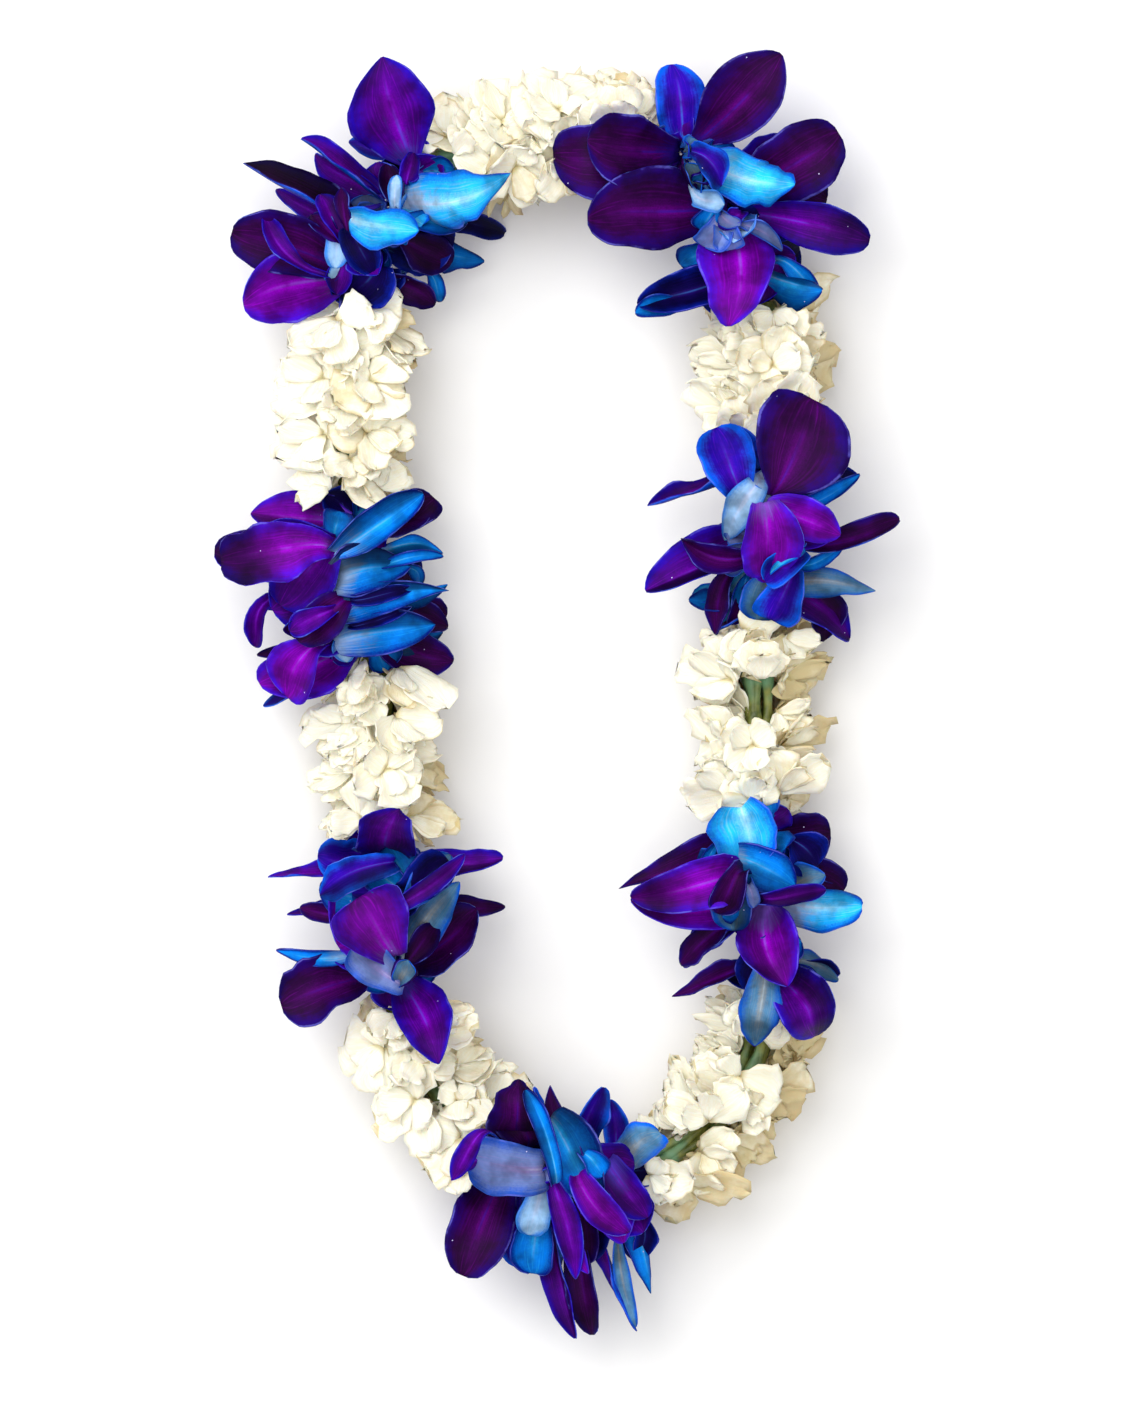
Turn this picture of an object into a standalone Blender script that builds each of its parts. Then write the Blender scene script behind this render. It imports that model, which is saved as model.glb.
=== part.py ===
"""A closed flower garland that lies flat: orchid blooms and white blossoms threaded on a string.

Lengths are millimetres, and finish() turns each mesh into metres. X points right and Y up the
long side of the loop as seen from above, Z up off the surface, with the origin under its middle.
"""

import math
import random

import bmesh
import bpy
from mathutils import Matrix, Vector
from mathutils.bvhtree import BVHTree

GAP = 0.3
MILLIMETRE = 0.001

# The strand: its centreline in plan, clockwise from the orchids at the top left.
STRAND = (
    (-57, 184), (-43, 192), (-21, 198), (-10, 201), (15, 205), (44, 197), (63, 174), (72, 147),
    (75, 121), (74, 96), (75, 64), (74, 35), (72, 17), (72, -1), (71, -23), (72, -48),
    (74, -73), (74, -98), (71, -128), (58, -149), (40, -165), (15, -174), (-7, -170), (-28, -156),
    (-46, -138), (-57, -116), (-59, -95), (-63, -66), (-64, -44), (-65, -19), (-66, 3), (-70, 35),
    (-73, 60), (-75, 93), (-75, 118), (-72, 143), (-67, 168),
)
AXIS_HEIGHT = 22.0
SAMPLES_PER_SPAN = 24
STRING_RADIUS = 0.75
STRING_POINTS = 46

# Runs along the strand, in order: kind, name, where it ends, how many whorls or blooms.
RUNS = (
    ("white", "top", 90, (0.12, 0.38, 0.64, 0.90)),
    ("orchid", "top_right", 169, (0.22, 0.56, 0.85)),
    ("white", "right_upper", 220, (0.10, 0.47, 0.83)),
    ("orchid", "right_upper", 282, (0.17, 0.50, 0.83)),
    ("white", "right_middle", 352, (0.10, 0.34, 0.68, 0.92)),
    ("orchid", "right_lower", 418, (0.17, 0.50, 0.83)),
    ("white", "right_lower", 506, (0.16, 0.38, 0.60, 0.82)),
    ("orchid", "bottom", 556, (0.12, 0.38, 0.63, 0.88)),
    ("white", "left_lower", 622, (0.19, 0.49, 0.79)),
    ("orchid", "left_lower", 681, (0.17, 0.50, 0.83)),
    ("white", "left_middle", 747, (0.10, 0.37, 0.64, 0.90)),
    ("orchid", "left_upper", 800, (0.12, 0.38, 0.63, 0.88)),
    ("white", "left_upper", 876, (0.09, 0.35, 0.61, 0.87)),
    ("orchid", "top_left", 933, (0.12, 0.38, 0.63, 0.88)),
)
FIRST_RUN_START = 13

# White blossoms: a whorl is a ring of florets whose tubes meet round the stem bundle.
FLORETS_PER_WHORL = 5
FLORET_LOBES = 5
FLORET_RADIUS = 14.8
FLORET_NOTCH = 0.72
FLORET_DISTANCE = 20.0
FLORET_TILT = 0.36
FLORET_CUP = 2.2
TUBE_RADIUS = 2.4
HUB_RADIUS = 8.6
TUBE_ROOT = 6.7
HUB_LENGTH = 4.0
STEM_BUNDLE_RADIUS = 5.4
STEM_BUNDLE_STEP = 15.0

# Orchid blooms: petals round a neck that the string runs through.
NECK_RADII = (3.4, 5.0)
NECK_SPACING = 2.4
BLADE_THICKNESS = {"petal": 1.5, "sepal": 1.4, "lip": 1.6}
BLADE_RINGS = {"petal": 5, "sepal": 4, "lip": 4}
WIDEST_AT = {"petal": 0.60, "sepal": 0.50, "lip": 0.66}
EDGE_FULLNESS = {"petal": 0.75, "sepal": 0.85, "lip": 0.70}
BLADE_CUP = 0.16
BLADE_ARCH = 0.14
PETAL_CLEARANCE = 0.5
LOWEST_PETAL = 0.6
BEND_HEIGHTS = (0, 5, -5, 10, -10, 16, -16, 22, -22)
BEND_ROLLS = (0, 14, -14, 28, -28, 42, -42)
BEND_ARCHES = (0.0, 0.14, -0.14, 0.28)

# Each bloom's petals, in the order of the clusters along the strand:
# kind, where the tip lies in plan, how high it stands, the width, and the roll in degrees
# about the petal's own length (0 shows the face from above, 180 shows the back).
BLOOMS = {
    "top_left": (
        (
            ("petal", -118, 167, 38, 25, -25),
            ("petal", -114, 143, 44, 26, 0),
            ("petal", -64, 141, 36, 28, -10),
            ("sepal", -44, 143, 24, 17, 30),
            ("lip", -81, 156, 44, 11, 180),
        ),
        (
            ("petal", -114, 192, 38, 23, 50),
            ("sepal", -103, 182, 26, 17, 40),
            ("lip", -66, 151, 54, 14, 20),
            ("petal", -38, 162, 32, 24, 20),
            ("sepal", -27, 157, 14, 15, 170),
        ),
        (
            ("sepal", -17, 186, 46, 21, 170),
            ("sepal", -92, 202, 42, 17, 45),
            ("sepal", -89, 193, 28, 15, -35),
            ("lip", -51, 167, 54, 14, 180),
            ("sepal", -19, 169, 26, 16, 45),
        ),
        (
            ("petal", -66, 229, 50, 32, 0),
            ("sepal", -42, 193, 30, 14, 20),
            ("sepal", -76, 200, 20, 15, 150),
            ("lip", -46, 177, 34, 13, 20),
        ),
    ),
    "top_right": (
        (
            ("petal", 10, 198, 64, 27, 0),
            ("petal", -2, 191, 56, 29, 5),
            ("petal", 80, 231, 50, 30, 0),
            ("sepal", 42, 228, 36, 19, 0),
            ("sepal", 84, 182, 58, 19, 175),
            ("lip", 47, 197, 50, 14, 0),
        ),
        (
            ("petal", 10, 175, 50, 30, -5),
            ("petal", 112, 165, 46, 21, 10),
            ("petal", 64, 133, 52, 27, 0),
            ("petal", 102, 201, 38, 27, 10),
            ("sepal", 83, 201, 24, 16, 0),
            ("lip", 63, 163, 50, 14, 0),
        ),
        (
            ("sepal", 95, 147, 32, 18, 160),
            ("sepal", 28, 142, 30, 19, 10),
            ("sepal", 87, 161, 20, 17, 20),
            ("petal", 51, 143, 14, 22, 0),
            ("lip", 76, 143, 20, 12, 0),
        ),
    ),
    "right_upper": (
        (
            ("petal", 94, 111, 50, 38, 0),
            ("petal", 55, 96, 42, 24, 10),
            ("sepal", 32, 67, 34, 17, 50),
            ("sepal", 108, 79, 34, 16, -35),
            ("lip", 63, 71, 50, 14, 180),
        ),
        (
            ("petal", 101, 59, 52, 22, -10),
            ("petal", 75, 41, 52, 23, 0),
            ("petal", 31, 38, 42, 26, 30),
            ("sepal", 122, 67, 36, 19, -35),
            ("sepal", 44, 50, 30, 14, 50),
            ("lip", 61, 55, 56, 13, 180),
        ),
        (
            ("sepal", 114, 37, 34, 17, 165),
            ("sepal", 57, 23, 26, 19, 20),
            ("petal", 78, 26, 40, 24, 0),
            ("sepal", 105, 21, 26, 18, -30),
            ("lip", 84, 44, 54, 12, 180),
            ("sepal", 47, 33, 16, 15, 30),
        ),
    ),
    "right_lower": (
        (
            ("petal", 67, -38, 46, 22, 180),
            ("petal", 98, -50, 38, 22, 0),
            ("petal", 21, -68, 36, 22, 40),
            ("sepal", 103, -67, 24, 15, -30),
            ("lip", 81, -55, 50, 12, 180),
        ),
        (
            ("petal", 26, -77, 46, 25, 30),
            ("sepal", 109, -75, 50, 20, 170),
            ("petal", 82, -104, 54, 25, 0),
            ("sepal", 44, -96, 30, 15, 40),
            ("lip", 59, -80, 56, 12, 180),
            ("sepal", 95, -62, 44, 17, -20),
        ),
        (
            ("sepal", 72, -125, 62, 18, 175),
            ("petal", 87, -122, 56, 25, 0),
            ("sepal", 101, -100, 26, 17, 160),
            ("sepal", 41, -109, 28, 17, 40),
            ("lip", 87, -109, 20, 12, 0),
        ),
    ),
    "bottom": (
        (
            ("sepal", 35, -155, 58, 15, 180),
            ("sepal", 33, -215, 34, 17, 140),
            ("petal", 33, -190, 48, 19, -20),
            ("sepal", 29, -203, 22, 14, 20),
            ("sepal", 18, -145, 28, 14, 40),
        ),
        (
            ("petal", 25, -195, 50, 19, -20),
            ("sepal", 12, -230, 34, 15, 20),
            ("sepal", 28, -229, 28, 16, 60),
            ("sepal", 15, -140, 44, 15, 35),
            ("lip", 17, -186, 56, 12, 0),
        ),
        (
            ("petal", 9, -208, 46, 20, 25),
            ("sepal", 1, -231, 26, 15, 30),
            ("sepal", -9, -140, 46, 14, 55),
            ("sepal", -3, -207, 30, 17, 160),
            ("lip", -1, -163, 54, 12, 20),
        ),
        (
            ("petal", -36, -170, 52, 23, 175),
            ("petal", -15, -137, 58, 23, 0),
            ("petal", -35, -208, 46, 29, 0),
            ("sepal", -15, -205, 28, 15, 150),
            ("lip", -21, -174, 36, 12, 0),
        ),
    ),
    "left_lower": (
        (
            ("petal", -100, -111, 46, 26, 0),
            ("petal", -42, -131, 62, 25, 0),
            ("sepal", -36, -66, 50, 18, 165),
            ("petal", -29, -77, 34, 24, -30),
            ("sepal", -102, -91, 26, 14, 45),
            ("lip", -71, -95, 50, 16, 180),
        ),
        (
            ("petal", -81, -87, 50, 26, 15),
            ("sepal", -98, -78, 28, 13, 50),
            ("sepal", -19, -77, 24, 15, -30),
            ("sepal", -37, -89, 16, 15, 0),
            ("lip", -50, -69, 52, 12, 0),
        ),
        (
            ("petal", -57, -40, 47, 26, 3),
            ("petal", -87, -58, 48, 19, 10),
            ("sepal", -105, -65, 34, 15, 50),
            ("sepal", -21, -61, 42, 19, -35),
            ("petal", -77, -52, 30, 20, 0),
            ("lip", -66, -68, 56, 12, 0),
        ),
    ),
    "left_upper": (
        (
            ("petal", -107, 3, 36, 22, 20),
            ("sepal", -109, 15, 30, 14, 40),
            ("sepal", -106, -6, 22, 11, 50),
            ("sepal", -42, 24, 46, 18, 165),
            ("sepal", -38, 13, 26, 16, 40),
        ),
        (
            ("petal", -93, 18, 46, 22, 0),
            ("sepal", -111, 33, 30, 12, 40),
            ("sepal", -40, 41, 46, 16, 160),
            ("sepal", -40, 25, 22, 14, -40),
            ("lip", -81, 31, 56, 12, 180),
        ),
        (
            ("petal", -103, 31, 50, 28, -10),
            ("petal", -124, 52, 44, 22, 15),
            ("sepal", -42, 55, 46, 15, 160),
            ("sepal", -50, 44, 24, 14, -40),
            ("lip", -82, 44, 56, 12, 180),
        ),
        (
            ("petal", -111, 67, 42, 19, 10),
            ("sepal", -50, 75, 46, 19, 165),
            ("sepal", -45, 67, 24, 16, -30),
            ("petal", -93, 72, 28, 20, 0),
            ("lip", -79, 60, 52, 12, 180),
        ),
    ),
}

COLOURS = {
    "string": ((0.78, 0.74, 0.62), 0.8),
    "stems": ((0.10, 0.15, 0.03), 0.55),
    "white": ((0.90, 0.86, 0.74), 0.5),
    "orchid": ((0.09, 0.02, 0.35), 0.45),
}


def clear_scene():
    for item in list(bpy.data.objects):
        bpy.data.objects.remove(item)


def collection_named(name, shown=True):
    collection = bpy.data.collections.new(name)
    bpy.context.scene.collection.children.link(collection)
    collection.hide_render = not shown
    return collection


def material_named(name):
    colour, roughness = COLOURS[name]
    material = bpy.data.materials.new(name)
    material.use_nodes = True
    surface = material.node_tree.nodes["Principled BSDF"]
    surface.inputs["Base Color"].default_value = (*colour, 1)
    surface.inputs["Roughness"].default_value = roughness
    surface.inputs["Metallic"].default_value = 0
    return material


# The strand as a smooth closed curve that every flower is placed along.


def smooth_point(before, start, end, after, t):
    """A point of the Catmull-Rom curve between start and end."""
    return (
        start
        + (end - before) * (t / 2)
        + (before * 2 - start * 5 + end * 4 - after) * (t * t / 2)
        + (start * 3 - before - end * 3 + after) * (t**3 / 2)
    )


def sample_strand():
    """Points along the closed centreline, and how far along it each one lies."""
    corners = [Vector((x, y, AXIS_HEIGHT)) for x, y in STRAND]
    count = len(corners)
    points = []
    for i in range(count):
        span = corners[i - 1], corners[i], corners[(i + 1) % count], corners[(i + 2) % count]
        points += [smooth_point(*span, k / SAMPLES_PER_SPAN) for k in range(SAMPLES_PER_SPAN)]
    points.append(points[0])
    distances = [0.0]
    for a, b in zip(points, points[1:]):
        distances.append(distances[-1] + (b - a).length)
    return points, distances


POINTS, DISTANCES = sample_strand()
PERIMETER = DISTANCES[-1]


def strand_point(distance):
    distance %= PERIMETER
    low, high = 0, len(DISTANCES) - 1
    while high - low > 1:
        middle = (low + high) // 2
        if DISTANCES[middle] <= distance:
            low = middle
        else:
            high = middle
    t = (distance - DISTANCES[low]) / (DISTANCES[high] - DISTANCES[low])
    return POINTS[low].lerp(POINTS[high], t)


def strand_frame(distance):
    """The centre of the strand there, its direction, and the level direction across it."""
    ahead = (strand_point(distance + 1.5) - strand_point(distance - 1.5)).normalized()
    return strand_point(distance), ahead, Vector((0, 0, 1)).cross(ahead)


def at_strand(distance, across, up):
    centre, _, side = strand_frame(distance)
    return centre + side * across + Vector((0, 0, up))


# Meshes and Booleans


def object_of(mesh_maker, name, collection):
    """A new object whose mesh is made by mesh_maker(bm) and closed facing out."""
    bm = bmesh.new()
    mesh_maker(bm)
    bmesh.ops.recalc_face_normals(bm, faces=bm.faces)
    if bm.calc_volume(signed=True) < 0:
        bmesh.ops.reverse_faces(bm, faces=bm.faces)
    mesh = bpy.data.meshes.new(name)
    bm.to_mesh(mesh)
    bm.free()
    made = bpy.data.objects.new(name, mesh)
    collection.objects.link(made)
    return made


def tube_along(name, start, end, points, radius, resolution, collection):
    """A mesh tube along the strand. A tube as long as the strand is closed on itself."""
    closed = end - start >= PERIMETER
    curve = bpy.data.curves.new(name, "CURVE")
    curve.dimensions = "3D"
    curve.bevel_depth = radius
    curve.bevel_resolution = resolution
    curve.use_fill_caps = not closed
    spline = curve.splines.new("POLY")
    spline.points.add(points - 1)
    spline.use_cyclic_u = closed
    for i, point in enumerate(spline.points):
        step = (end - start) / (points if closed else points - 1)
        point.co = (*strand_point(start + i * step), 1)
    guide = bpy.data.objects.new(name + "_guide", curve)
    collection.objects.link(guide)
    graph = bpy.context.evaluated_depsgraph_get()
    mesh = bpy.data.meshes.new_from_object(guide.evaluated_get(graph))
    bpy.data.objects.remove(guide)
    bm = bmesh.new()
    bm.from_mesh(mesh)
    bmesh.ops.remove_doubles(bm, verts=bm.verts, dist=0.001)
    bmesh.ops.recalc_face_normals(bm, faces=bm.faces)
    bm.to_mesh(mesh)
    bm.free()
    made = bpy.data.objects.new(name, mesh)
    collection.objects.link(made)
    return made


def apply_boolean(target, operation, other):
    """Joins a whole collection to the target, or cuts one object from it."""
    modifier = target.modifiers.new(operation.lower(), "BOOLEAN")
    modifier.operation = operation
    modifier.solver = "MANIFOLD"
    if operation == "UNION":
        modifier.operand_type = "COLLECTION"
        modifier.collection = other
    else:
        modifier.object = other
    graph = bpy.context.evaluated_depsgraph_get()
    mesh = bpy.data.meshes.new_from_object(target.evaluated_get(graph))
    target.modifiers.remove(modifier)
    target.data = mesh


def join_pieces(name, makers, parts):
    """One solid from the shapes that the makers build, joined by one Boolean union."""
    pieces = collection_named(name + "_pieces")
    body = object_of(makers[0], name, parts)
    for maker in makers[1:]:
        object_of(maker, name + "_piece", pieces)
    apply_boolean(body, "UNION", pieces)
    for piece in list(pieces.objects):
        bpy.data.objects.remove(piece)
    bpy.data.collections.remove(pieces)
    return body


def keep_largest_body(target):
    """Drops the loose scraps that a cut leaves beside the body."""
    bm = bmesh.new()
    bm.from_mesh(target.data)
    left = set(bm.verts)
    bodies = []
    while left:
        body = set()
        edge_of_body = [left.pop()]
        while edge_of_body:
            vertex = edge_of_body.pop()
            body.add(vertex)
            fresh = {edge.other_vert(vertex) for edge in vertex.link_edges} & left
            left -= fresh
            edge_of_body += fresh
        bodies.append(body)
    bodies.sort(key=len)
    for body in bodies[:-1]:
        bmesh.ops.delete(bm, geom=list(body), context="VERTS")
    bm.to_mesh(target.data)
    bm.free()


def tree_of(target):
    return BVHTree.FromPolygons(
        [vertex.co for vertex in target.data.vertices],
        [polygon.vertices for polygon in target.data.polygons],
    )


# White blossoms


def floret_maker(distance, turn, phase, size):
    """A trumpet floret: a thin tube that opens into a lobed face, tilted along the strand."""
    outward = Vector((math.cos(turn), math.sin(turn)))
    round_ = Vector((-outward.y, outward.x))

    def place(across, along, out):
        flat = outward * (out - FLORET_TILT * along) + round_ * across
        return at_strand(distance + along, flat.x, flat.y)

    def make(bm):
        made = bmesh.ops.create_uvsphere(bm, u_segments=2 * FLORET_LOBES, v_segments=3, radius=1)
        for vertex in made["verts"]:
            point = vertex.co.copy()
            azimuth = math.atan2(point.y, point.x) + phase
            lobe = round(math.atan2(point.y, point.x) / (math.pi / FLORET_LOBES)) % 2
            if point.z > 0.9:
                vertex.co = place(0, 0, FLORET_DISTANCE - FLORET_CUP)
            elif point.z > 0:
                reach = FLORET_RADIUS * size * (FLORET_NOTCH if lobe else 1)
                lift = FLORET_DISTANCE + FLORET_CUP * (0.2 if lobe else 0.7)
                vertex.co = place(reach * math.cos(azimuth), reach * math.sin(azimuth), lift)
            elif point.z > -0.9:
                # The tube has one side to a lobe, so each notch's corner joins its lobe's.
                side = azimuth - lobe * math.pi / FLORET_LOBES
                lift = FLORET_DISTANCE - FLORET_CUP - TUBE_RADIUS
                vertex.co = place(TUBE_RADIUS * math.cos(side), TUBE_RADIUS * math.sin(side), lift)
            else:
                vertex.co = place(0, 0, TUBE_ROOT)
        bmesh.ops.remove_doubles(bm, verts=bm.verts, dist=0.001)

    return make


def sleeve_maker(distance, radii, length, sides):
    """A short solid collar or cone round the strand, lying along it."""
    centre, ahead, _ = strand_frame(distance)
    turned = ahead.to_track_quat("Z", "X").to_matrix().to_4x4()

    def make(bm):
        bmesh.ops.create_cone(
            bm,
            cap_ends=True,
            segments=sides,
            radius1=radii[0],
            radius2=radii[1],
            depth=length,
            matrix=Matrix.Translation(centre) @ turned,
        )

    return make


def whorl(name, distance, number, parts, cutter, ground):
    chance = random.Random(number)
    first = chance.uniform(0, math.tau)
    makers = [sleeve_maker(distance, (HUB_RADIUS, HUB_RADIUS), HUB_LENGTH, 6)]
    for i in range(FLORETS_PER_WHORL):
        turn = first + math.tau * (i + chance.uniform(-0.08, 0.08)) / FLORETS_PER_WHORL
        phase = chance.uniform(0, math.tau)
        size = chance.uniform(0.92, 1.08)
        makers.append(floret_maker(distance, turn, phase, size))
    body = join_pieces(name, makers, parts)
    apply_boolean(body, "DIFFERENCE", cutter)
    apply_boolean(body, "DIFFERENCE", ground)
    keep_largest_body(body)
    return body


# Orchid blooms


class Blade:
    """A petal, sepal or lip: a thin lens bent along an arched line from the neck to its tip."""

    def __init__(self, row, centre, lift=0, turn=0, bow=0.0):
        kind, x, y, height, width, roll = row
        self.kind = kind
        self.width = width
        self.roll = math.radians(roll + turn)
        self.tip = Vector((x, y, max(height + lift, LOWEST_PETAL + 2)))
        away = self.tip - centre
        level = Vector((away.x, away.y, 0)).normalized()
        self.root = centre + level * 1.5
        self.chord = self.tip - self.root
        self.arch = (BLADE_ARCH + bow) * self.chord.length

    def spine(self, t):
        return self.root + self.chord * t + Vector((0, 0, self.arch * math.sin(math.pi * t)))

    def half_width(self, t):
        power = math.log(0.5) / math.log(WIDEST_AT[self.kind])
        return self.width / 2 * math.sin(math.pi * t**power) ** EDGE_FULLNESS[self.kind]

    def place(self, t, across, above):
        """A point of the blade: along it from 0 to 1, across it from -1 to 1, and above it."""
        ahead = (self.spine(t + 0.02) - self.spine(t - 0.02)).normalized()
        side = ahead.cross(Vector((0, 0, 1))).normalized()
        side = Matrix.Rotation(self.roll, 3, ahead) @ side
        face = side.cross(ahead)
        half = self.half_width(min(max(t, 0.0), 1.0)) if 0 < t < 1 else 0.0
        cup = BLADE_CUP * half * across * across
        return self.spine(t) + side * (half * across) + face * (cup + above)

    def maker(self, extra=0.0):
        rings = BLADE_RINGS[self.kind]
        thickness = BLADE_THICKNESS[self.kind] / 2

        def make(bm):
            made = bmesh.ops.create_uvsphere(bm, u_segments=4, v_segments=rings, radius=1)
            for vertex in made["verts"]:
                point = vertex.co.copy()
                t = 1 - math.acos(max(-1.0, min(1.0, point.z))) / math.pi
                ring = math.hypot(point.x, point.y)
                across = point.x / ring if ring > 0.01 else 0.0
                above = point.y / ring * (thickness + extra) if ring > 0.01 else 0.0
                vertex.co = self.place(t, across * (1 + extra / self.width), above)
            bmesh.ops.triangulate(bm, faces=bm.faces)

        return make

    def tree(self):
        bm = bmesh.new()
        self.maker(PETAL_CLEARANCE)(bm)
        tree = BVHTree.FromBMesh(bm)
        lowest = min(vertex.co.z for vertex in bm.verts)
        bm.free()
        return tree, lowest


def bend_clear(row, centre, taken):
    """The blade as drawn, or bent up, down or round by the least that clears what is taken."""
    bends = [(a, b, c) for a in BEND_HEIGHTS for b in BEND_ROLLS for c in BEND_ARCHES]
    bends.sort(key=lambda bend: abs(bend[0]) / 5 + abs(bend[1]) / 12 + abs(bend[2]) * 12)
    for bend in bends:
        blade = Blade(row, centre, *bend)
        tree, lowest = blade.tree()
        if lowest > LOWEST_PETAL and not any(tree.overlap(other) for other in taken):
            return blade, tree
    print("NOT CLEAR", row)
    return None, None


def neck_length(start, end, places):
    """The longest neck that leaves a space to its neighbours and to the run's ends."""
    edges = [2 * start - places[0], *places, 2 * end - places[-1]]
    return min(b - a for a, b in zip(edges, edges[1:])) - NECK_SPACING


def neck_tree(distance, length):
    bm = bmesh.new()
    radii = [radius + GAP for radius in NECK_RADII]
    sleeve_maker(distance, radii, length + 2 * GAP, 7)(bm)
    tree = BVHTree.FromBMesh(bm)
    bm.free()
    return tree


def plan_blooms(places, length, rows, neighbours):
    """Every bloom's blades, settled one by one in the order of the rows."""
    necks = [neck_tree(distance, length) for distance in places]
    settled = [[] for _ in places]
    plans = [[] for _ in places]
    rounds = max(len(bloom) for bloom in rows)
    for turn in range(rounds):
        for i, bloom in enumerate(rows):
            if turn >= len(bloom):
                continue
            taken = neighbours + [neck for k, neck in enumerate(necks) if k != i]
            taken += [tree for k, trees in enumerate(settled) if k != i for tree in trees]
            blade, tree = bend_clear(bloom[turn], strand_point(places[i]), taken)
            if blade is not None:
                plans[i].append(blade)
                settled[i].append(tree)
    return plans


def bloom(name, distance, length, blades, parts, bore):
    makers = [sleeve_maker(distance, NECK_RADII, length, 7)]
    makers += [blade.maker() for blade in blades]
    body = join_pieces(name, makers, parts)
    apply_boolean(body, "DIFFERENCE", bore)
    keep_largest_body(body)
    return body


# The garland


def box_centre(bodies):
    """The middle, in plan, of the box round all the bodies."""
    corners = [vertex.co for body in bodies for vertex in body.data.vertices]
    middle = [(min(c[i] for c in corners) + max(c[i] for c in corners)) / 2 for i in range(2)]
    return Vector((*middle, 0))


def finish(body, material, centre, smooth_degrees=40):
    body.data.transform(Matrix.Scale(MILLIMETRE, 4) @ Matrix.Translation(-centre))
    body.data.materials.clear()
    body.data.materials.append(material)
    body.data.shade_smooth()
    body.data.set_sharp_from_angle(angle=math.radians(smooth_degrees))


def ground_cutter(cutters):
    def make(bm):
        bmesh.ops.create_cube(bm, size=1, matrix=Matrix.Diagonal((600, 800, 40, 1)))
        bmesh.ops.translate(bm, verts=bm.verts, vec=(0, 0, -20))

    return object_of(make, "ground_cutter", cutters)


def stem_bundle(name, start, end, parts, cutters, bore):
    """The bundle of green flower tubes round the string, and the room that it leaves in whorls."""
    points = max(2, round((end - start) / STEM_BUNDLE_STEP) + 1)
    bundle = tube_along(name, start, end, points, STEM_BUNDLE_RADIUS, 1, parts)
    apply_boolean(bundle, "DIFFERENCE", bore)
    room = STEM_BUNDLE_RADIUS + GAP
    return bundle, tube_along(name + "_room", start, end, points, room, 1, cutters)


def white_run(place, start, end, fractions, first_number, parts, cutters, bore, ground):
    """One bundle of stems and the whorls of blossoms round it."""
    bundle, room = stem_bundle(f"stems_{place}", start + 1, end - 1, parts, cutters, bore)
    whorls = []
    for i, fraction in enumerate(fractions):
        distance = start + (end - start) * fraction
        name = f"white_{place}_{i + 1}"
        whorls.append(whorl(name, distance, first_number + i, parts, room, ground))
    return bundle, whorls


def orchid_run(place, start, end, fractions, neighbours, parts, bore):
    places = [start + (end - start) * fraction for fraction in fractions]
    length = neck_length(start, end, places)
    plans = plan_blooms(places, length, BLOOMS[place], neighbours)
    return [
        bloom(f"orchid_{place}_{i + 1}", places[i], length, blades, parts, bore)
        for i, blades in enumerate(plans)
    ]


def runs_of(kind):
    """The runs of one kind, as place, start, end and fractions."""
    start = FIRST_RUN_START
    for run_kind, place, end, fractions in RUNS:
        if run_kind == kind:
            yield place, start, end, fractions
        start = end


def build():
    clear_scene()
    parts = collection_named("garland")
    cutters = collection_named("cutters", shown=False)
    ground = ground_cutter(cutters)
    bore = tube_along("bore", 0, PERIMETER, STRING_POINTS, STRING_RADIUS + GAP, 1, cutters)
    string = tube_along("string", 0, PERIMETER, STRING_POINTS, STRING_RADIUS, 1, parts)
    bundles, whorls, blooms = [], [], []
    for run in runs_of("white"):
        bundle, ring = white_run(*run, len(whorls), parts, cutters, bore, ground)
        bundles.append(bundle)
        whorls += ring
    neighbours = [tree_of(body) for body in bundles + whorls]
    for run in runs_of("orchid"):
        blooms += orchid_run(*run, neighbours, parts, bore)
    groups = {"string": [string], "stems": bundles, "white": whorls, "orchid": blooms}
    centre = box_centre(parts.objects)
    for name, bodies in groups.items():
        material = material_named(name)
        for body in bodies:
            finish(body, material, centre)
    for cutter in cutters.objects:
        cutter.data.transform(Matrix.Scale(MILLIMETRE, 4) @ Matrix.Translation(-centre))
        cutter.hide_render = True
        cutter.display_type = "WIRE"


build()
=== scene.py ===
"""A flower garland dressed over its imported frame: orchid petals, white blossoms and green tubes.

Shapes are worked out in millimetres in the garland's own plan, with X right, Y up the long side
and Z up, and placed() turns each finished mesh into metres over the frame.
"""

import math
import random

import bmesh
import bpy
from mathutils import Matrix, Vector, noise
from mathutils.bvhtree import BVHTree


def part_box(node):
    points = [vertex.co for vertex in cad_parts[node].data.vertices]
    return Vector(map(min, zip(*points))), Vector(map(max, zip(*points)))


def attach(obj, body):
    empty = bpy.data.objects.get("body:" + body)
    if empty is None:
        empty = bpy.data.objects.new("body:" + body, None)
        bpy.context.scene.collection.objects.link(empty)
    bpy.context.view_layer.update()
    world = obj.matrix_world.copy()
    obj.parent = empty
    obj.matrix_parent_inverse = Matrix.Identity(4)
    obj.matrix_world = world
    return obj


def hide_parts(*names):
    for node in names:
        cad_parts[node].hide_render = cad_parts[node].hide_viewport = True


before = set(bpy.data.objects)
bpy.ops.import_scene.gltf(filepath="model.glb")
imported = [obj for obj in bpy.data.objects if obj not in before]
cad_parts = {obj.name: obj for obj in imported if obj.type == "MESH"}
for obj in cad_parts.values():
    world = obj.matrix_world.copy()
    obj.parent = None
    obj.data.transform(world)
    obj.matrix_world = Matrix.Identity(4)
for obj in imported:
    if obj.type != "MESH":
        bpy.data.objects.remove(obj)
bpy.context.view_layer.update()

MILLIMETRE = 0.001
UP = Vector((0, 0, 1))
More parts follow.
